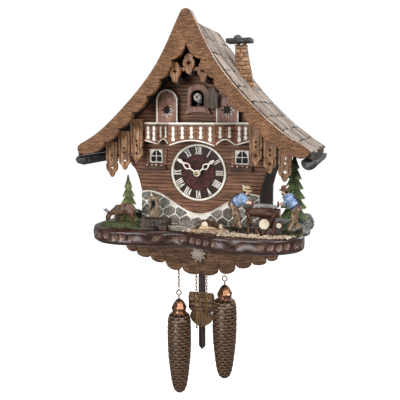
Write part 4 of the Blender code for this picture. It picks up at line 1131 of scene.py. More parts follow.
def dial():
    """Carved face with raised rays, and the cream ring with its numerals."""
    low, high = edges("dial")
    back, front = high.y, low.y
    face = [plate(circle((0, 0), 37.2, 72), back, front + 0.3, 0.05, [circle((0, 0), ARBOR_HOLE)], DIAL),
            plate(circle((0, 0), 23.6, 60), front + 0.4, front - 0.1, 0.15, [circle((0, 0), ARBOR_HOLE)],
                  DIAL_RED)]
    for k in range(24):
        reach, material = (22.4, DIAL_RED) if k % 2 else (19, DIAL)
        ridge = plate([(-0.25, 6), (0.25, 6), (1.0, 16), (0.6, reach), (-0.6, reach), (-1.0, 16)],
                      front, front - 0.6, 0.2, material=material)
        face.append(moved(ridge, spin(15 * k + 7.5, "Y")))
    settle(joined(face), "dial_face_carved", stands_for=["dial"])

    low, high = edges("dial_ring")
    ring = [plate(circle((0, 0), 40, 96), high.y, low.y, 0.9, [circle((0, 0), 37.0, 96)], CREAM),
            plate(circle((0, 0), 24.3, 72), front + 0.2, front - 0.25, 0.1, [circle((0, 0), 23.7, 72)],
                  DIAL_RED)]
    for hour, numeral in enumerate(NUMERALS):
        width = sum(LETTER_WIDTH[c] for c in numeral)
        x = -width / 2
        for c in numeral:
            for shape in letter(c, x + LETTER_WIDTH[c] / 2, NUMERAL_TALL):
                bar = plate(shape, front + 0.2, front - 0.55, 0.08, material=CREAM)
                ring.append(moved(bar, spin(30 * hour, "Y") @ shift((0, 0, NUMERAL_FOOT))))
            x += LETTER_WIDTH[c]
    settle(joined(ring), "dial_numerals_and_ring", stands_for=["dial_ring"])


def hand(length, y_back, y_front, bore, degrees):
    """Pierced, carved hand: hub, waist, heart loop and spear."""
    half = ([(1.1, 4.0), (0.9, length * 0.28)]
            + smooth_line([(1.4, length * 0.33), (3.9, length * 0.42), (4.3, length * 0.50),
                           (2.6, length * 0.62), (1.0, length * 0.68)], 4)
            + smooth_line([(1.1, length * 0.71), (2.5, length * 0.80), (1.4, length * 0.90),
                           (0.15, length)], 4))
    loop = smooth_line([(0.5, length * 0.36), (2.5, length * 0.44), (2.7, length * 0.50),
                        (0.5, length * 0.61)], 3)
    holes = [both_hands(0, loop), diamond(0, length * 0.80, 0.9, 1.6)]
    parts = [plate(both_hands(0, half), y_back, y_front, 0.25, holes, CREAM),
             plate(circle((0, 0), 4.6, 28), y_back, y_front, 0.3, [circle((0, 0), bore, 16)], CREAM)]
    return moved(joined(parts), spin(degrees, "Y"))


def facing_out(y):
    """Matrix that lays a turned piece along the hands' axis, starting at y."""
    return shift((0, y, 0)) @ spin(90, "X")


def hands():
    """Pierced hour and minute hands, and the nut on their arbor."""
    low, high = edges("hour_hand")
    hour = [hand(31.0, low.y + 1.4, low.y, 2.0, 53.0),
            plate(circle((0, 0), 3.6, 24), high.y, low.y + 1.1, 0.2, [circle((0, 0), 2.0, 16)], CREAM)]
    settle(joined(hour), "hour_hand_pierced", "hour", ["hour_hand"])
    low, high = edges("minute_hand")
    minute = [hand(35.5, low.y + 1.4, low.y, 1.0, -55.0),
              turned([(1.4, 0), (1.6, 0.4), (1.6, 17.8), (1.4, 18.2)], 16, BRASS,
                     facing_out(high.y))]
    settle(joined(minute), "minute_hand_pierced", "minute", ["minute_hand"])
    low, high = edges("hand_nut")
    nut = turned([(2.4, 0), (2.7, 0.4), (2.7, 1.1), (2.2, 1.4), (1.2, 1.9), (0.5, 2.2)], 18, BRASS,
                 facing_out(high.y))
    settle(nut, "hand_nut_knurled", "minute", ["hand_nut"])


# ---------------------------------------------------------------- landscape

GROUND = -75.0
FIGURE_Y = -150.0
BASE_PLAN = [(-149, -100), (-151, -142), (-136, -166), (-113, -177), (-62, -176), (-28, -167), (0, -168),
             (40, -184),
             (75, -184), (110, -184), (137, -171), (153, -147), (149, -105), (141, -50), (124, -9),
             (-124, -9), (-142, -55)]


def closed_line(points, steps):
    """Catmull-Rom curve through a closed ring of points."""
    return smooth_line([points[-1], *points, points[0], points[1]], steps)[steps:-1 - steps]


def even_loop(points, count):
    """The same closed line with points at equal distances."""
    loop = [Vector(p) for p in points] + [Vector(points[0])]
    lengths = [0.0]
    for a, b in zip(loop, loop[1:]):
        lengths.append(lengths[-1] + (b - a).length)
    found, k = [], 0
    for n in range(count):
        want = lengths[-1] * n / count
        while lengths[k + 1] < want:
            k += 1
        t = (want - lengths[k]) / (lengths[k + 1] - lengths[k])
        found.append(tuple(loop[k].lerp(loop[k + 1], t)))
    return found, lengths[-1]


def gouge(along, down, tall):
    """Depth of the carver's marks at a place on the rim: ovals, slanted pairs and plain stretches."""
    pitch, deep = 12.5, 0.0
    for n in (math.floor(along / pitch) - 1, math.floor(along / pitch), math.floor(along / pitch) + 1):
        kind = (n * 7 + (n * n) % 5) % 10
        centre = (n + 0.5 + 0.25 * noise.noise((n * 3.7, 0.4, 0.5))) * pitch
        dx, dz = along - centre, down - tall * (0.46 + 0.08 * noise.noise((n * 2.3, 4.0, 1.7)))
        if kind < 5:
            reach = ((dx + 0.25 * dz) / 2.5) ** 2 + (dz / 4.2) ** 2
            deep = max(deep, 1.9 * (1 - reach) ** 0.6 if reach < 1 else 0.0)
        elif kind < 8:
            for aside in (-2.0, 2.0):
                reach = ((dx + aside + 0.7 * dz) / 0.95) ** 2 + (dz / 4.6) ** 2
                deep = max(deep, 1.1 * (1 - reach) ** 0.6 if reach < 1 else 0.0)
    return deep


def landscape():
    """Thick carved plank: gouged rim, mossy top, and rocks at both ends."""
    top, foot = GROUND, edges("landscape_base")[0].z
    count = 560
    plan, around = even_loop(closed_line(BASE_PLAN, 6), count)
    tall = top - foot
    levels = [(0.0, 5.0), (0.05, 1.6), (0.12, 0.4)] + [(0.12 + 0.68 * s / 11, 0.0)
                                                       for s in range(1, 12)] + [(0.88, 2.0), (0.95, 4.2),
                                                                                 (1.0, 8.5)]
    bpy.ops.mesh.primitive_circle_add(vertices=count, radius=1.0, fill_type="NGON")
    thing = bpy.context.object
    centre = Vector((2.0, -95.0))

    def rim(share, inset):
        ring = []
        for k, (x, y) in enumerate(plan):
            along = around * k / count
            away = (Vector((x, y)) - centre).normalized()
            swell = 1.3 * noise.noise((x * 0.035, y * 0.035, share * 1.5)) - 0.4
            depth = gouge(along, tall * share, tall) if y < -12 and 0.04 < share < 0.97 else 0.0
            wave = 0.8 * math.sin(share * 9 + noise.noise((x * 0.05, y * 0.05, 3.0)) * 4)
            fade = min(1.0, share * 8, (1.0 - share) * 8)
            at = Vector((x, y)) - away * (inset + 1.4 - swell * fade - wave * 0.5 * fade + depth)
            ring.append((at.x, min(at.y, -9.2), top - tall * share, depth))
        return ring
    mesh = thing.data
    depths = []

    def lay(vertices, level):
        ring = rim(*level)
        for vertex, place in zip(vertices, ring):
            vertex.co = place[:3]
        depths.extend(p[3] for p in ring)
    lay(mesh.vertices, levels[0])
    edit(thing)
    bpy.ops.mesh.select_mode(type="FACE")
    for level in levels[1:]:
        bpy.ops.mesh.extrude_region_move(TRANSFORM_OT_translate={"value": (0, 0, -0.1)})
        shape = bmesh.from_edit_mesh(mesh)
        shape.verts.ensure_lookup_table()
        lay(sorted((v for v in shape.verts if v.select), key=lambda v: v.index), level)
        bmesh.update_edit_mesh(mesh)
    bpy.ops.mesh.select_all(action="SELECT")
    bpy.ops.mesh.normals_make_consistent(inside=False)
    done()
    stored = mesh.attributes.new("tip", "FLOAT", "POINT")
    for k, cell in enumerate(stored.data):
        neighbours = depths[k - 1], depths[(k + 1) % len(depths)]
        rim_edge = max(0.0, max(neighbours) - depths[k]) if depths[k] < 0.5 else 0.0
        cell.value = min(0.6, rim_edge * 0.5 + (0.25 if depths[k] > 1.0 else 0.0))
    wear(thing, BASE)
    opening = block((-48, -103.5, foot - 9), (48, -66, top + 9), 0)
    bake_in(thing, "BOOLEAN", operation="DIFFERENCE", solver="EXACT", object=opening)
    drop(opening)
    rounded(thing, 50)
    settle(thing, "carved_base_plank", stands_for=["landscape_base"])

    rocks = []
    for place, size, lean in (((142, -70, -72), (15.5, 21, 13.5), 8), ((147, -92, -71), (9, 11, 8), -6),
                              ((134, -100, -75), (18, 20, 9), 0),
                              ((-126, -60, -76), (20, 24, 9), 0), ((-134, -88, -74), (8, 12, 6), 10),
                              ((149, -112, -76), (8, 10, 7), 0)):
        rock = lump(place, size, ROCK, 5, tilt=lean)
        roughen(rock, 9.0, 5.0)
        roughen(rock, 2.4, 1.2, "VORONOI")
        for vertex in rock.data.vertices:
            layer = vertex.co.z * 0.55 + vertex.co.x * 0.12
            vertex.co.z += 0.5 * math.sin(layer * 3.1)
        kept_within(rock, (None, None, top - 6), (None, -10.5, None))
        mark(rock, "tip", lambda co: max(0.0, noise.noise(co * 0.25)) * 0.7)
        rocks.append(rounded(rock, 30))
    settle(joined(rocks), "end_rocks")

    ground = []
    draw = random.Random(41)
    for x, y, w, d, h in ((-106, -144, 33, 17, 5.5), (-72, -150, 24, 15, 3.0), (112, -110, 26, 20, 5),
                          (60, -128, 32, 13, 2.8),
                          (-20, -135, 34, 18, 2.4), (20, -128, 26, 13, 2.6), (-108, -112, 24, 18, 4),
                          (132, -140, 18, 20, 3.0)):
        bank = roughen(lump((x, y, top), (w, d, h), MOSS, 5), 3.2, 2.2)
        ground.append(kept_within(bank, (None, None, top - 0.8)))
    settle(joined(ground), "mossy_ground")

    chips = []
    blanks = [block((-1, -1, -1), (1, 1, 1), 0, PALE_WOOD), block((-1, -1, -1), (1, 1, 1), 0, END_GRAIN)]
    for n in range(760):
        if n % 3 != 1 and n % 5:
            x = draw.uniform(42, 140)
            y = draw.uniform(-178, -163) + max(0.0, x - 112) * 0.35
        elif n % 5:
            x, y = draw.uniform(34, 142), draw.uniform(-166, -138)
        else:
            x, y = draw.uniform(-8, 52), draw.uniform(-166, -138)
        size = draw.uniform(0.8, 1.9)
        chip = copy_of(blanks[n % 2], shift((x, y, top + draw.uniform(0.3, 1.8)))
                       @ Matrix.Rotation(draw.uniform(0, 3.1), 4, "Z")
              @ Matrix.Rotation(draw.uniform(-0.5, 0.5), 4, "Y")
              @ Matrix.Diagonal((size, size * 0.55, 0.4, 1)))
        mark(chip, "tint", draw.random())
        chips.append(chip)
    settle(joined(chips), "wood_chips")
    drop(*blanks)

    step = [block((-27, -158, top - 0.5), (4, -118, top + 4.0), 0.8, STONE, 2),
            block((-23, -139, top + 3.5), (0, -115, top + 7.5), 0.8, STONE, 2)]
    for one in step:
        roughen(one, 4.0, 0.6)
        mark(one, "tint", 0.8)
    settle(joined(step), "door_step")


def leaf_outline(x, foot, top, half):
    """Pointed leaf hanging tip down."""
    tall = top - foot
    side = smooth_line([(0.0, 0.0), (half * 0.55, tall * 0.16), (half, tall * 0.42),
                        (half * 0.8, tall * 0.72), (half * 0.35, tall * 0.93), (0, tall)], 4)
    return [(x + w, foot + z) for w, z in side] + [(x - w, foot + z) for w, z in reversed(side[1:-1])]


def apron():
    """Scalloped trim below the base, leaning back, with a flower in the middle."""
    low, high = edges("leaf_apron")
    top = high.z
    notches = [(0, -139.5), (27.1, -136.4), (52.3, -127.6), (75.5, -123.2), (96.9, -119.9), (113.1, -111.3)]
    lows = [(13.5, -150.0), (38.3, -145.5), (61.0, -135.4), (83.8, -128.8), (104.1, -121.3)]
    parts = []
    for y_back, y_front, ease, lift in ((-109.5, -112.2, 0.5, 0.0), (-111.8, -113.9, 1.0, 3.2)):
        half = [(0, top - lift), (114.5 - lift, top - lift), (116 - lift, -104)]
        for inner, outer, tip in reversed(list(zip(notches, notches[1:], lows))):
            wide, rise = outer[0] - inner[0], outer[1] - tip[1]
            for part, drop_ in ((1.0, 0.30), (0.975, 0.52), (0.90, 0.74), (0.70, 0.94), (0.50, 1.0),
                                (0.26, 0.99), (0.13, 0.86), (0.045, 0.62), (0.0, 0.36)):
                half.append((inner[0] + wide * part + lift * 0.3 * (part - 0.5),
                             tip[1] + rise * (1 - drop_) * 0.80 + max(0.0, part - 0.5) * 2.4 + lift * 0.75))
        half += [(0, lows[0][1] + 6.0 + lift * 0.5)]
        parts.append(plate(mirrored(half), y_back, y_front, ease, material=TRIM))
    for sign in (-1, 1):
        for n, (x, z) in enumerate(notches[:5]):
            if n == 0 and sign == 1:
                continue
            line = [(sign * (x + 3.0 * t * t), -113.6, z + 2 + 9 * t) for t in (0, 0.25, 0.5, 0.75, 1)]
            parts.append(wire(line, 0.55, GROOVE, resolution=1))
    whole = joined(parts)
    for vertex in whole.data.vertices:
        vertex.co.y += 6.0 * max(0.0, -99.5 - vertex.co.z) / 50.0
        vertex.co.x = max(low.x, min(high.x, vertex.co.x))
    settle(whole, "scalloped_trim", stands_for=["leaf_apron"])

    low, high = edges("edelweiss")
    middle = (low.z + high.z) / 2
    petals = []
    for ring, (count, size, depth) in enumerate(((9, 11.4, 0.0), (7, 7.4, -1.0))):
        for k in range(count):
            petal = lump((0, low.y + 1.6 + depth * 0.9, size * 0.52), (size * 0.19, 1.0, size * 0.48), TRIM,
                         3)
            mark(petal, "tip", lambda co, s=size: min(0.9, max(0.0, co.z / s) * 0.9 + ring * 0.2))
            rim_line = [(s * size * 0.19 * math.sin(math.pi * t), low.y + 0.7 + depth * 0.9,
                         size * (0.06 + 0.94 * t)) for s, t in
                        [(1, t / 6) for t in range(7)] + [(-1, t / 6) for t in range(5, 0, -1)]]
            petal = joined([petal, wire(rim_line, 0.3, CREAM, True, 1)])
            petals.append(moved(petal, shift((0, 0, middle)) @ spin(360 / count * k + 20 * ring, "Y")))
    for k in range(7):
        a = math.radians(60 * k)
        r = 0 if k == 6 else 1.9
        bud = lump((r * math.cos(a), low.y + 0.9, middle + r * math.sin(a)), (0.95, 0.9, 0.95), TRIM, 2)
        petals.append(mark(bud, "tip", 0.7))
    settle(joined(petals), "edelweiss_flower", stands_for=["edelweiss"])


def fir(node, name, tiers, seed, green):
    """Fir built of drooping star-shaped skirts of twigs."""
    low, high = edges(node)
    draw = random.Random(seed)
    cx, cy = (low.x + high.x) / 2, (low.y + high.y) / 2
    tall, radius = high.z - low.z, (high.x - low.x) / 2
    parts = [limb((cx, cy, low.z), (cx, cy, high.z - 4), 2.3, 0.5, 10, BARK)]
    mark(parts[0], "tip", 0.0)
    layers = tiers * 2
    for k in range(layers):
        share = k / layers
        z = low.z + tall * (0.10 + 0.84 * share)
        size = radius * 1.16 * (1.0 - 0.80 * share ** 1.35) * (1.0 if k % 2 == 0 else 0.72)
        rise = tall * 0.9 / layers * 1.7
        count = max(14, int(30 - 16 * share))
        bpy.ops.mesh.primitive_circle_add(vertices=count * 2, radius=size, fill_type="NGON",
                                          location=(0, 0, 0))
        skirt = bpy.context.object
        bpy.ops.object.mode_set(mode="EDIT")
        bpy.ops.mesh.inset(thickness=size * 0.42, depth=0)
        bpy.ops.transform.translate(value=(0, 0, rise * 0.42))
        bpy.ops.mesh.inset(thickness=size * 0.34, depth=0)
        bpy.ops.transform.translate(value=(0, 0, rise * 0.5))
        done()
        bake_in(skirt, "SOLIDIFY", thickness=0.9, offset=-1)
        for vertex in skirt.data.vertices:
            flat = math.hypot(vertex.co.x, vertex.co.y)
            angle = math.atan2(vertex.co.y, vertex.co.x)
            if flat > size * 0.9:
                step = round(angle / (math.pi / count))
                reach = (1.0 if step % 2 else 0.70) + 0.10 * noise.noise((step * 1.7, k * 2.1, seed))
                vertex.co.x *= reach
                vertex.co.y *= reach
                vertex.co.z += -1.4 * (step % 2) - rise * 0.24 + 0.8 * noise.noise((step * 0.9, k * 1.3, 7))
        mark(skirt, "tip", lambda co, s=size: max(0.0, (math.hypot(co.x, co.y) / s - 0.72) * 2.2))
        moved(skirt, shift((cx, cy, z)) @ Matrix.Rotation(draw.uniform(0, 1), 4, "Z")
              @ Matrix.Rotation(draw.uniform(-0.05, 0.05), 4, "X"))
        parts.append(wear(skirt, green))
    tip = limb((cx, cy, high.z - 7), (cx, cy, high.z), 1.7, 0.3, 8, green)
    parts.append(mark(tip, "tip", 0.5))
    tree = kept_within(joined(parts), (low.x - 1.5, None, low.z), (high.x + 1.5, None, high.z))
    rounded(tree, 25)
    settle(tree, name, stands_for=[node])


def low_basin():
    """Second, lower basin between the trunk trough and the split logs."""
    ground = edges("water_trough")[0].z
    top = -69.8
    sides = [block((x0, y0, ground), (-6, y1, top), 0.5, DOOR_GREY)
             for x0, y0, y1 in ((-30.4, -156, -153.6), (-30.4, -143, -141), (-8, -155, -142))]
    sides.append(block((-30, -155, ground), (-7, -142, -72.6), 0.1, SLATE))
    rim = wire([(-30.4, -156, -69.6), (-6, -156, -69.6), (-6, -141.5, -69.6)], 0.5, END_GRAIN)
    settle(joined(sides + [rim]), "low_basin")


def deer():
    """Grazing deer with small antlers on a mossy mound."""
    x, y, ground = -106.0, -144.0, edges("deer")[0].z
    body = [lump((x + 6, y, -50.6), (13.0, 6.2, 8.0), tilt=-14),
            lump((x + 15.0, y, -53.2), (7.4, 5.8, 9.0)),
            lump((x - 4, y, -53), (7.0, 5.6, 8.0)),
            limb((x - 5, y, -52), (x - 16.5, y, -59), 5.4, 3.8),
            lump((x - 19, y, -62.5), (4.0, 3.4, 6.8), tilt=25),
            limb((x - 20.5, y, -65), (x - 22.5, y, -69.4), 2.3, 1.6)]
    for dx, dy, fx, r in ((-6, -3.0, -9, 2.3), (-3, 3.0, -2, 2.2), (16, -3.2, 18, 2.9), (17, 3.0, 14, 2.6)):
        knee = (x + (dx + fx) / 2 + (2 if dx > 0 else 0), y + dy, -66)
        body.append(limb((x + dx, y + dy, -54), knee, r, 1.7))
        body.append(limb(knee, (x + fx, y + dy, ground + 2.5), 1.7, 1.5))
    for dy in (-2.4, 2.4):
        body.append(lump((x - 15.6, y + dy * 1.3, -56.8), (1.3, 2.6, 1.1), tilt=-30))
    body.append(lump((x + 21.2, y, -51.5), (1.5, 1.6, 3.0)))
    hide = melted(body, 0.55, 6, DEER)
    antlers = []
    for dy in (-1.8, 1.8):
        antlers.append(wire([(x - 17.5, y + dy, -58.5), (x - 21.5, y + dy * 1.6, -55.0),
                             (x - 25.2, y + dy * 1.6, -52.4)], 0.9, GROOVE))
        antlers.append(lump((x - 19.6, y + dy * 1.4, -62.0), (0.6, 0.5, 0.6), BLACK, 2))
    mound = lump((x - 1, y, ground - 1.5), (29.5, 13.5, 6.2), MOSS, 5)
    roughen(mound, 3.0, 2.0)
    kept_within(mound, (None, None, ground))
    whole = joined([hide] + antlers + [mound])
    settle(whole, "grazing_deer", stands_for=["deer"])


def trough():
    """Hollowed tree trunk with a pump post and spout."""
    low, high = edges("water_trough")
    ground, rim = low.z, -61.5
    draw = random.Random(9)
    parts = [block((x0, y0, ground), (x1, y1, rim), 0.8, BARK, 3)
             for x0, x1, y0, y1 in ((-70, -31, -163, -159), (-70, -31, -145, -141), (-70, -66, -160, -144),
                                    (-35, -31, -160, -144))]
    parts.append(block((-67, -160, ground), (-34, -144, ground + 4.6), 0.2, BARK))
    for side in parts:
        bake_in(side, "SUBSURF", levels=3, render_levels=3, subdivision_type="SIMPLE")
        roughen(side, 2.0, 0.9)
    for k in range(12):
        x = -69 + 3.25 * k + draw.uniform(-0.5, 0.5)
        parts.append(limb((x + 1, -162.8, ground + draw.uniform(0, 1)),
                          (x + 1, -163.0, rim + draw.uniform(-1.8, 0.2)), 1.3, 1.2, 8, BARK))
    for y in (-162.2, -142.0):
        parts.append(wire([(-70, y, rim - 0.4), (-50, y, rim), (-31, y, rim - 0.4)], 1.0, BARK))
    water = block((-66.5, -159.5, -70), (-34.5, -144.5, -69.2), 0.1, BLACK)
    post = [block((-64.5, -140.5, ground), (-51.5, -133, -33.5), 1.4, PUMP, 3),
            block((-66.4, -141.8, -36.5), (-49.6, -131.8, -32.4), 1.0, PUMP),
            block((-60.8, -140.9, -46), (-55.2, -138, -37.8), 0.4, BLACK),
            block((-68, -142, ground), (-46, -134, ground + 4.7), 1.0, PUMP)]
    for one in (post[0], post[1], post[3]):
        bake_in(one, "SUBSURF", levels=3, render_levels=3, subdivision_type="SIMPLE")
        roughen(one, 2.2, 1.0)
        mark(one, "tint", 0.9)
    spout = wire([(-58, -138, -46), (-58, -146, -46.5), (-58, -149.5, -48), (-58, -150, -50.5)], 1.4, BARK)
    handle = wire([(-58, -136, -33), (-58, -136, -31.2), (-51.5, -136, -32.6)], 0.9, BARK)
    whole = joined(parts + [water] + post + [spout, handle])
    kept_within(whole, low, (high.x, high.y, None))
    settle(whole, "trunk_trough_and_pump", stands_for=["water_trough"])


def round_log(start, end, radius, seed=0):
    """Barked log with paler ends showing rings."""
    start, end = Vector(start), Vector(end)
    length = (end - start).length
    profile = [(radius * 0.93, 0),
               (radius, 0.5)] + [(radius * (1 + 0.02 * math.sin(s * 1.7 + seed)), length * s / 8)
                                 for s in range(1, 8)] + [(radius, length - 0.5), (radius * 0.93, length)]
    bark = turned(profile, 22, LOG_SIDE)
    roughen(bark, 1.8, 0.7)
    moved(bark, aim(start, end))
    parts = [bark]
    for point, other in ((start, end), (end, start)):
        out = (point - other).normalized() * 0.35
        parts.append(turned([(radius * 0.86, 0), (radius * 0.86, 0.5), (radius * 0.6, 0.72),
                             (radius * 0.56, 0.55), (radius * 0.3, 0.72), (radius * 0.27, 0.6), (0.1, 0.7)],
                             22, END_GRAIN,
                            aim(point - out, point + out * 3)))
    return parts


def sawing_place():
    """Sawbuck with the log being sawn, cut logs below, and the stacked planks in front."""
    y, ground = FIGURE_Y, edges("sawbuck_with_logs")[0].z
    parts = round_log((76.8, y, -46), (121.6, y, -46), 6.0, 1)
    parts += round_log((103, -140.3, -59), (103, -163.4, -59), 7.6, 2) + round_log((121, -142.3, -61),
                                                                                   (121, -157.4, -61), 3.9,
                                                                                   3)
    for x in (80.5, 113.0):
        for lean in (-1, 1):
            parts.append(limb((x + lean, y - 11 * lean, ground + 0.4), (x + lean, y + 7 * lean, -40), 2.0,
                              1.8, 10, LOG_SIDE))
        parts.append(block((x - 4, y - 13, ground), (x + 4, y + 13, ground + 3), 0.5, BARK))
    for x0, x1 in ((78.5, 96), (117, 99)):
        parts.append(limb((x0, y - 7.5, -45), (x1, y - 8.5, ground + 0.5), 2.1, 2.4, 10, LOG_SIDE))
    parts.append(block((78, y - 2, ground), (116, y + 2, ground + 2.5), 0.5, BARK))
    parts.append(block((95, -157, ground), (125, -143, -65), 0.8, BARK))
    settle(joined(parts), "sawbuck_and_logs", stands_for=["sawbuck_with_logs"])

    parts = round_log((20, -138.3, -66), (20, -151.6, -66), 5.1, 4) + round_log((14.5, -140, -65),
                                                                                (44, -157.4, -66), 4.0, 5)
    draw = random.Random(17)
    for x0, x1, y0, y1, z0, z1 in ((12, 46, -158, -150, ground, -71), (12, 46, -149.4, -139, ground, -71.4),
                                   (14, 44, -156, -146, -70.8, -68),
                                   (6, 36, -163, -158.3, ground, -71)):
        plank = block((x0, y0, z0), (x1, y1, z1), 0.5, PALE_WOOD)
        parts.append(mark(plank, "tint", draw.random()))
    settle(joined(parts), "stacked_planks_and_logs", stands_for=["wood_pile"])


def saw():
    """Toothed blade between two upright handles."""
    low, high = edges("saw")
    y = (low.y + high.y) / 2
    teeth = [(low.x + 1.2, low.z + 1.6)]
    x = low.x + 1.2
    while x < high.x - 3:
        teeth += [(x + 0.7, low.z), (x + 1.4, low.z + 1.3)]
        x += 1.4
    outline = teeth + [(high.x - 1.2, low.z + 1.6), (high.x - 1.2, low.z + 5.0)]
    outline += arc(((low.x + high.x) / 2, low.z - 62), 67.2, 75, 105, 10) + [(low.x + 1.2, low.z + 5.0)]
    parts = [plate(outline, y + 0.4, y - 0.4, 0.05, material=DULL_STEEL)]
    for x in (low.x + 1.4, high.x - 1.4):
        parts.append(limb((x, y, low.z + 1), (x, y, high.z), 1.4, 1.2, 12, FELT))
    settle(joined(parts), "two_man_saw", "saw", ["saw"])


FIGURES = {
    "left": {"hip": (58.6, -36.5), "chest": (71.5, -28.8), "head": (77.4, -20.2), "knee": (65.5, -56),
             "hand": (82.3, -34), "foot": 64.0, "build": 1.12, "lean": 34, "hat": STRAW},
    "right": {"hip": (141.5, -39), "chest": (132.5, -26.5), "head": (126.5, -18), "knee": (139.5, -56),
              "hand": (121.7, -34), "foot": 139.0, "build": 1.08, "lean": -14, "hat": FELT},
}


def sawyer(side):
    """Forester in a blue shirt, rocking at the saw; face is the way they look along x."""
    pose, sign = FIGURES[side], SIDES[side]
    face, foot_x, build = -sign, pose["foot"], pose["build"]
    y, ground = FIGURE_Y, edges(f"sawyer_{side}")[0].z

    def at(key, across=0.0, lift=0.0):
        return (pose[key][0], y + across, pose[key][1] + lift)

    def part_way(start, end, share):
        return tuple(s + (e - s) * share for s, e in zip(start, end))
    shirt = [limb(at("hip"), at("chest"), 6.4 * build, 7.0 * build),
             lump(at("chest"), (7.0 * build, 8.0, 6.8 * build)),
             lump(at("chest", 0, -1), (6.6 * build, 7.6, 6.8 * build))]
    legs = [lump(at("hip"), (6.6, 6.8, 6.8))]
    boots, arms, fists = [], [], []
    for across in (-4.2, 4.2):
        foot = (foot_x + across * 1.4 * sign, y + across, ground + 2.4)
        legs.append(limb(at("hip", across * 0.7), at("knee", across), 4.9, 4.1))
        legs.append(lump(at("knee", across), (4.1, 3.9, 4.3)))
        legs.append(limb(at("knee", across), (foot[0], foot[1], foot[2] + 5), 4.1, 3.2))
        boots.append(limb((foot[0], foot[1], foot[2] + 6.5), (foot[0], foot[1], foot[2] + 0.5), 3.3, 2.8))
        boots.append(lump((foot[0] - sign * 2.0, foot[1], foot[2] - 0.3), (4.2, 2.3, 1.9)))
        elbow = ((pose["chest"][0] * 2 + pose["hand"][0]) / 3, y + across * 1.55, pose["hand"][1] + 1.5)
        shirt.append(limb(at("chest", across * 1.4), elbow, 4.2, 3.5))
        hand_at = at("hand", across * 0.45)
        shirt.append(limb(elbow, part_way(elbow, hand_at, 0.25), 3.1, 2.8))
        arms.append(limb(part_way(elbow, hand_at, 0.15), hand_at, 2.1, 1.8))
        fists.append(lump(hand_at, (1.9, 1.7, 2.1)))
    parts = [roughen(melted(shirt, 0.5, 3, SHIRT), 3.0, 0.8),
             roughen(melted(legs, 0.5, 3, TROUSERS), 3.0, 0.7), melted(boots, 0.45, 2, LEATHER),
             melted(arms + fists, 0.4, 2, SKIN)]
    hx, hz = pose["head"]
    head = [lump((hx, y, hz), (3.7, 3.5, 4.4)), limb(at("chest"), (hx, y, hz - 1), 2.5, 2.2),
            lump((hx + face * 3.5, y, hz - 0.6), (0.9, 0.8, 1.1))]
    parts.append(melted(head, 0.35, 2, SKIN))
    beard = lump((hx + face * 1.6, y, hz - 3.0), (2.4, 2.7, 1.8), HAIR, 3)
    hair = lump((hx - face * 1.3, y, hz + 0.6), (3.3, 3.75, 3.3), HAIR, 3)
    parts += [roughen(beard, 1.2, 0.4), roughen(hair, 1.2, 0.4)]
    for dy in (-1.3, 1.3):
        parts.append(lump((hx + face * 3.35, y + dy, hz + 0.7), (0.35, 0.45, 0.4), BLACK, 1))
    hat = turned([(6.9, 0), (7.3, 0.35), (7.2, 0.9), (4.7, 1.3), (4.3, 1.5), (4.0, 4.4), (3.3, 5.6),
                  (1.6, 6.1), (0.1, 5.8)],
                 28, pose["hat"])
    band = turned([(4.35, 1.4), (4.5, 1.6), (4.4, 2.7), (4.2, 2.8)], 28, LEATHER)
    crown = shift((hx, y, hz + 2.6)) @ spin(pose["lean"] * 0.35, "Y")
    for one in (hat, band):
        for vertex in one.data.vertices:
            r = math.hypot(vertex.co.x, vertex.co.y)
            if r > 5:
                vertex.co.z += 0.5 * math.cos(2 * math.atan2(vertex.co.y, vertex.co.x)) - 0.3
        moved(one, crown)
    feather = plate(leaf_outline(0, 0, 6.0, 0.9), 0.2, -0.2, 0.08, material=WHITE)
    moved(feather, crown @ shift((-face * 2.5, -4.3, 2.0)) @ spin(-face * 40, "Y"))
    parts += [hat, band, feather]
    cx, cz = pose["chest"]
    px, pz = pose["hip"]
    run = Vector((px - cx, 0, pz - cz)).normalized()
    outside = Vector((-run.z, 0, run.x)) * (1 if run.z * face > 0 else -1)
    for dy in (-3.4, 3.4):
        strap = []
        for t in (s / 8 for s in range(9)):
            centre = Vector((cx + (px - cx) * t, y + dy, cz + (pz - cz) * t))
            strap.append(tuple(centre + outside * (7.0 * build + 0.3 * math.sin(math.pi * t))))
        parts.append(wire(strap, 0.6, LEATHER))
    belt = turned([(6.9, 0), (7.5, 0.4), (7.5, 1.6), (6.9, 2.0)], 24, LEATHER,
                  aim((px, y, pz), (cx, y, cz)) @ shift((0, 0, 2.4)))
    whole = joined(parts + [belt])
    for vertex in whole.data.vertices:
        vertex.co.z = max(ground + 0.7 + 0.03 * abs(vertex.co.x - foot_x), vertex.co.z)
    settle(whole, f"forester_{side}", f"sawyer_{side}", [f"sawyer_{side}"])


# ---------------------------------------------------------------- pendulum, weights and chains

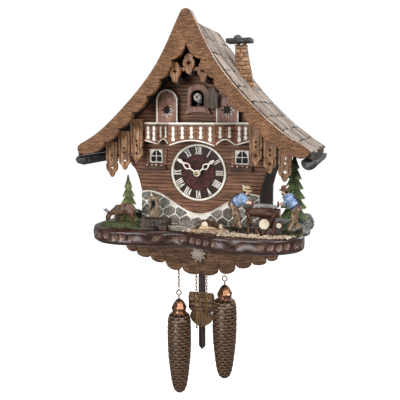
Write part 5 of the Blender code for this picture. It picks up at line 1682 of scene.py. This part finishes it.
def pendulum():
    """Pointed wooden leader on its wire hook, and the carved leaf bob that slides on it."""
    low, high = edges("pendulum_rod")
    x, y = (low.x + high.x) / 2, (low.y + high.y) / 2
    half = (high.x - low.x) / 2 + 0.6

    def pointed(reach, top, shoulder, tip):
        return [(x - reach, top), (x + reach, top), (x + reach, low.z + shoulder), (x, low.z + tip),
                (x - reach, low.z + shoulder)]
    parts = [plate(pointed(half, -104, 5.6, 0), y + 1.5, y - 1.5, 0.6, material=ROD_WOOD),
             plate(pointed(1.0, -106, 10, 6), y - 1.3, y - 1.75, 0.12, material=ROD_WOOD),
             wire([(x, y, high.z - 1.0), (x, y, -106)], 0.9, STEEL),
             wire([(x, y, high.z - 2.0), (x + 1.6, y, high.z - 1.0), (x, y, high.z - 0.4),
                   (x - 1.4, y, high.z - 1.4)], 0.5, STEEL)]
    settle(joined(parts), "pendulum_leader", "pendulum", ["pendulum_rod"])

    low, high = edges("pendulum_bob")
    x, top = (low.x + high.x) / 2, high.z
    right = ([(0, top), (7, top - 1.2), (17.6, top - 1.0), (19.6, top - 3.4), (20.6, top - 9),
              (20.2, top - 18), (20.4, top - 26.6),
              (19.2, top - 28.2), (15.4, top - 30.2), (15.0, top - 31.4), (16.6, top - 33.4),
              (18.4, top - 38.5), (17.8, top - 42.0)]
             + smooth_line([(15.4, top - 46.6), (10.5, top - 51.0), (5.0, top - 54.2)], 3) + [(0, low.z)])
    outline = [(x + w, z) for w, z in right] + [(x - w, z) for w, z in reversed(right) if w > 0.01]
    parts = [mark(plate(outline, high.y, low.y + 1.3, 0.7, material=BOB_WOOD), "tip", 0.0),
             block((x - 18.6, low.y + 0.9, top - 30.6), (x + 18.6, low.y + 1.8, top - 29.4), 0.2, GROOVE)]
    for reach, z in ((12.0, -4.4), (12.0, -8.0), (19.0, -16.5), (19.0, -24.5)):
        parts.append(block((x - reach, low.y + 0.8, top + z - 0.7), (x + reach, low.y + 1.8, top + z + 0.5),
                           0.2, GROOVE))
    for sign in (-1, 1):
        for foot, head in (((2.2, -51), (3.0, -32)), ((6.4, -50), (8.0, -32)), ((10.4, -47.5), (12.6, -32)),
                           ((13.6, -43), (16.4, -33))):
            line = [(x + sign * (foot[0] + (head[0] - foot[0]) * t), low.y + 1.0, top + foot[1]
                     + (head[1] - foot[1]) * t) for t in (0, 0.5, 1)]
            parts.append(mark(wire(line, 0.6, BOB_WOOD, resolution=1), "tip", 0.7))
        for cz in (-12.2, -20.6):
            roll = limb((x + sign * 2, low.y + 2.2, top + cz),
                        (x + sign * 18.4, low.y + 2.2, top + cz + 0.6), 2.4, 3.0, 12, BOB_WOOD)
            parts.append(mark(roughen(roll, 3.0, 0.5), "tip",
                              lambda co: max(0.0, noise.noise(co * 0.5)) * 0.9))
    parts.append(block((x - 3, high.y - 0.2, top - 24), (x + 3, high.y + 0.0, top - 20), 0.05, STEEL))
    settle(joined(parts), "carved_leaf_bob", "bob", ["pendulum_bob"])


CONE_SHAPE = [(9.6, 18), (10.4, 20.2), (15.4, 24), (17.6, 31), (18.2, 45), (18.2, 70), (17.4, 88),
              (16.0, 103), (14.5, 116),
              (13.1, 127), (11.4, 136), (9.0, 142.5), (5.5, 146.2), (0.4, 147.2)]
CONE_START, CONE_END, CONE_LENGTH = 19.0, 147.1, 147.2
SCALES_AROUND, SCALE_TALL, SCALE_LAP = 10, 4.7, 1.55
WEIGHT_Y = -100.5


def cone_radius(drop):
    """Radius of the cone at a distance below its top."""
    for (r0, d0), (r1, d1) in zip(CONE_SHAPE, CONE_SHAPE[1:]):
        if drop <= d1:
            return r0 + (r1 - r0) * (drop - d0) / (d1 - d0)
    return 0.3


def scale_height(angle, drop):
    """Thickness of the overlapping pine-cone scales at a place, and the share of painted highlight on their
    lower rims.
    """
    best, edge = 0.0, 0.0
    row = math.floor((drop - CONE_START) / SCALE_TALL)
    for n in (row - 1, row):
        start = CONE_START + n * SCALE_TALL
        t = (drop - start) / (SCALE_TALL * SCALE_LAP)
        if not 0 <= t <= 1:
            continue
        u = angle / (2 * math.pi) * SCALES_AROUND + (0.5 if n % 2 else 0.0)
        s = abs((u - math.floor(u)) - 0.5) * 2
        width = 1.04 * (1 - max(0.0, (t - 0.45) / 0.55) ** 2.2) ** 0.5
        if s > width:
            continue
        high = 0.3 + 1.35 * t + 0.3 * (1 - s / max(width, 0.01)) ** 0.8
        if high > best:
            best, edge = high, max(0.0, t - 0.78 + 0.20 * s * s) * 6.0
    return best, min(1.0, edge)


def weight(side):
    """Cast pine cone with overlapping scales, turned cap and hanging hook."""
    low, high = edges(f"weight_{side}")
    x, y = (low.x + high.x) / 2, WEIGHT_Y
    top = high.z - 14.5
    stretch = (top - low.z) / CONE_LENGTH
    sides, rows = 168, 230
    bpy.ops.mesh.primitive_grid_add(x_subdivisions=sides, y_subdivisions=rows, size=1.0)
    cone = bpy.context.object
    # the "tip" attribute holds the painted highlight on the scale rims
    tips = cone.data.attributes.new("tip", "FLOAT", "POINT")
    for vertex, cell in zip(cone.data.vertices, tips.data):
        angle = (vertex.co.x + 0.5) * 2 * math.pi
        fallen = CONE_START + (CONE_END - CONE_START) * (0.5 - vertex.co.y)
        thick, cell.value = scale_height(angle, fallen)
        body = cone_radius(fallen)
        full = min(1.0, body / 6)
        reach = max(0.3, body - 1.9 * full + thick * full)
        reach = min(reach, body + 0.15)
        vertex.co = (reach * math.cos(angle), reach * math.sin(angle), -fallen * stretch)
    edit(cone)
    bpy.ops.mesh.select_mode(type="VERT")
    bpy.ops.mesh.remove_doubles(threshold=0.01)
    bpy.ops.mesh.select_all(action="DESELECT")
    bpy.ops.mesh.select_non_manifold()
    bpy.ops.mesh.fill_holes(sides=0)
    bpy.ops.mesh.select_all(action="SELECT")
    bpy.ops.mesh.normals_make_consistent(inside=False)
    done()
    wear(cone, CONE)
    rounded(cone, 50)
    crown = turned([(8.6, -16.4), (11.4, -14.6), (11.6, -12.4), (7.4, -4.0), (3.8, -0.3), (1.6, 0.2),
                    (1.2, 2.2)], 6, COPPER)
    bake_in(crown, "BEVEL", width=0.4, segments=2, limit_method="ANGLE")
    neck = turned([(9.0, -21.4), (10.6, -20.8), (10.9, -20.0), (9.7, -18.8), (9.5, -17.6), (10.4, -16.6),
                   (10.2, -15.4), (8.0, -15.0)], 32, COPPER)
    cap = joined([rounded(crown, 20), neck])
    ring = [(3.6 * math.cos(math.radians(a)), 0, 9.9 + 3.6 * math.sin(math.radians(a)))
            for a in range(-80, 261, 20)]
    stem = [(0, 0, 1.0), (0, 0, 5.8)]
    hook = [wire(ring, 0.95, COPPER), wire(stem, 1.1, COPPER)]
    whole = joined([cone, cap] + hook)
    moved(whole, shift((x, y, top)))
    settle(whole, f"pine_cone_weight_{side}", f"weight_{side}", [f"weight_{side}"])


def chain(node, body, name):
    """Brass chain: flat-sided links, each turned a quarter against the next."""
    low, high = edges(node)
    x, y = (low.x + high.x) / 2, (low.y + high.y) / 2
    length = high.z - low.z
    count = max(3, round(length / 4.8))
    pitch = (length - 1.4) / count
    bpy.ops.mesh.primitive_torus_add(major_segments=14, minor_segments=6, major_radius=1.35,
                                     minor_radius=0.5)
    link_ = bpy.context.object
    moved(link_, spin(90, "X"))
    stretch = (pitch + 1.35 - 2 * (1.35 - 0.5)) / 2 - 0.25
    for vertex in link_.data.vertices:
        vertex.co.z += stretch if vertex.co.z > 0 else -stretch
    wear(link_, BRASS)
    rounded(link_, 80)
    links = []
    for k in range(count):
        z = high.z - 0.7 - pitch * (k + 0.5)
        links.append(copy_of(link_, shift((x, y, z)) @ spin(45 + 90 * (k % 2), "Z")))
    drop(link_)
    whole = kept_within(joined(links), (None, None, low.z), (None, None, high.z))
    settle(whole, name, body, [node])


# ---------------------------------------------------------------- inside of the case and the back

def hidden_parts():
    """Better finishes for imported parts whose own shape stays."""
    for node, material in (("back_panel", BACK_WOOD), ("back_door", BACK_WOOD),
                           ("side_wall_left", CASE_SIDE), ("side_wall_right", CASE_SIDE),
                           ("chain_rail", CASE_SIDE), ("hanger_plate", STEEL), ("cuckoo_slide", PLASTIC),
                           ("movement_case", PLASTIC),
                           ("battery", CELL), ("battery_lid", PLASTIC), ("setting_knob", PLASTIC),
                           ("sound_box", PLASTIC),
                           ("volume_switch", PLASTIC), ("pendulum_drive", PLASTIC)):
        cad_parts[node].data.materials[0] = material


# ---------------------------------------------------------------- studio

CAMERA_PLACE = (0.2365, -0.8882, -0.0460)
CAMERA_YAW, CAMERA_PITCH, CAMERA_ROLL = 16.83, -8.62, -0.22
LIT_POINT = (0, -0.1, -0.15)
# name, place in metres, size in metres, power in watts
LAMPS = (("key", (1.3, -1.1, 0.85), 0.8, 28), ("fill", (-0.5, -1.95, 0.05), 0.9, 24),
         ("top", (0.2, -0.5, 1.5), 1.0, 14), ("back", (0.9, 1.3, 0.5), 1.0, 10))
ROOM_GLOW, BACKDROP_GLOW, FLOOR_GLOW = 0.38, 1.05, 0.72


def glow(tree, strength, node=None):
    """White background shader of a strength."""
    made = node or tree.nodes.new("ShaderNodeBackground")
    made.inputs["Color"].default_value = (1, 1, 1, 1)
    made.inputs["Strength"].default_value = strength
    return made


def studio():
    """Camera, soft lights and a pale floor."""
    camera = bpy.data.cameras.new("camera")
    camera.lens, camera.sensor_width = 52.3, 36.0
    camera.clip_start, camera.clip_end = 0.01, 50.0
    seat = bpy.data.objects.new("camera", camera)
    bpy.context.collection.objects.link(seat)
    seat.matrix_world = (shift(CAMERA_PLACE) @ spin(CAMERA_YAW, "Z") @ spin(90 + CAMERA_PITCH, "X")
                         @ spin(CAMERA_ROLL, "Z"))
    bpy.context.scene.camera = seat
    for name, place, size, power in LAMPS:
        light = bpy.data.lights.new(name, "AREA")
        light.energy, light.size = power, size
        lamp = bpy.data.objects.new(name, light)
        bpy.context.collection.objects.link(lamp)
        lamp.location = place
        lamp.rotation_euler = (Vector(LIT_POINT) - Vector(place)).to_track_quat("-Z", "Y").to_euler()
    world = bpy.data.worlds.new("studio")
    world.use_nodes = True
    tree = world.node_tree
    soft = glow(tree, ROOM_GLOW, tree.nodes["Background"])
    bright = glow(tree, BACKDROP_GLOW)
    path = tree.nodes.new("ShaderNodeLightPath")
    either = tree.nodes.new("ShaderNodeMixShader")
    link(tree, path, "Is Camera Ray", either, 0)
    link(tree, soft, "Background", either, 1)
    link(tree, bright, "Background", either, 2)
    link(tree, either, "Shader", tree.nodes["World Output"], "Surface")
    bpy.context.scene.world = world
    bpy.context.scene.view_settings.view_transform = "Standard"
    bpy.ops.mesh.primitive_plane_add(size=12.0, location=(0, 0, cad_low.z - 0.35))
    floor = bpy.context.object
    floor.name = "floor"
    floor.visible_diffuse = floor.visible_glossy = False
    pale = bpy.data.materials.new("pale_floor")
    pale.use_nodes = True
    shader = pale.node_tree.nodes["Principled BSDF"]
    shader.inputs["Base Color"].default_value = (0.9, 0.9, 0.9, 1)
    shader.inputs["Roughness"].default_value = 0.9
    shader.inputs["Emission Color"].default_value = (1, 1, 1, 1)
    shader.inputs["Emission Strength"].default_value = FLOOR_GLOW
    floor.data.materials.append(pale)


pick()
studio()
hidden_parts()
gable()
shingles()
eaves()
chimney()
hanging_boards()
facade()
stone_wall()
balcony()
balcony_doors()
cuckoo()
windows()
dial()
hands()
landscape()
apron()
fir("tree_left", "fir_tree_left", 5, 3, LEAF)
# The right-hand fir wears the shaded copy of the fir green: painted shade.
fir("tree_right", "fir_tree_right", 6, 8, LEAF_SHADED)
deer()
trough()
low_basin()
sawing_place()
saw()
for side in SIDES:
    sawyer(side)
    weight(side)
    chain(f"weight_chain_{side}", f"chain_{side}", f"weight_chain_links_{side}")
    chain(f"chain_tail_{side}", f"tail_{side}", f"loose_chain_links_{side}")
pendulum()
pick()
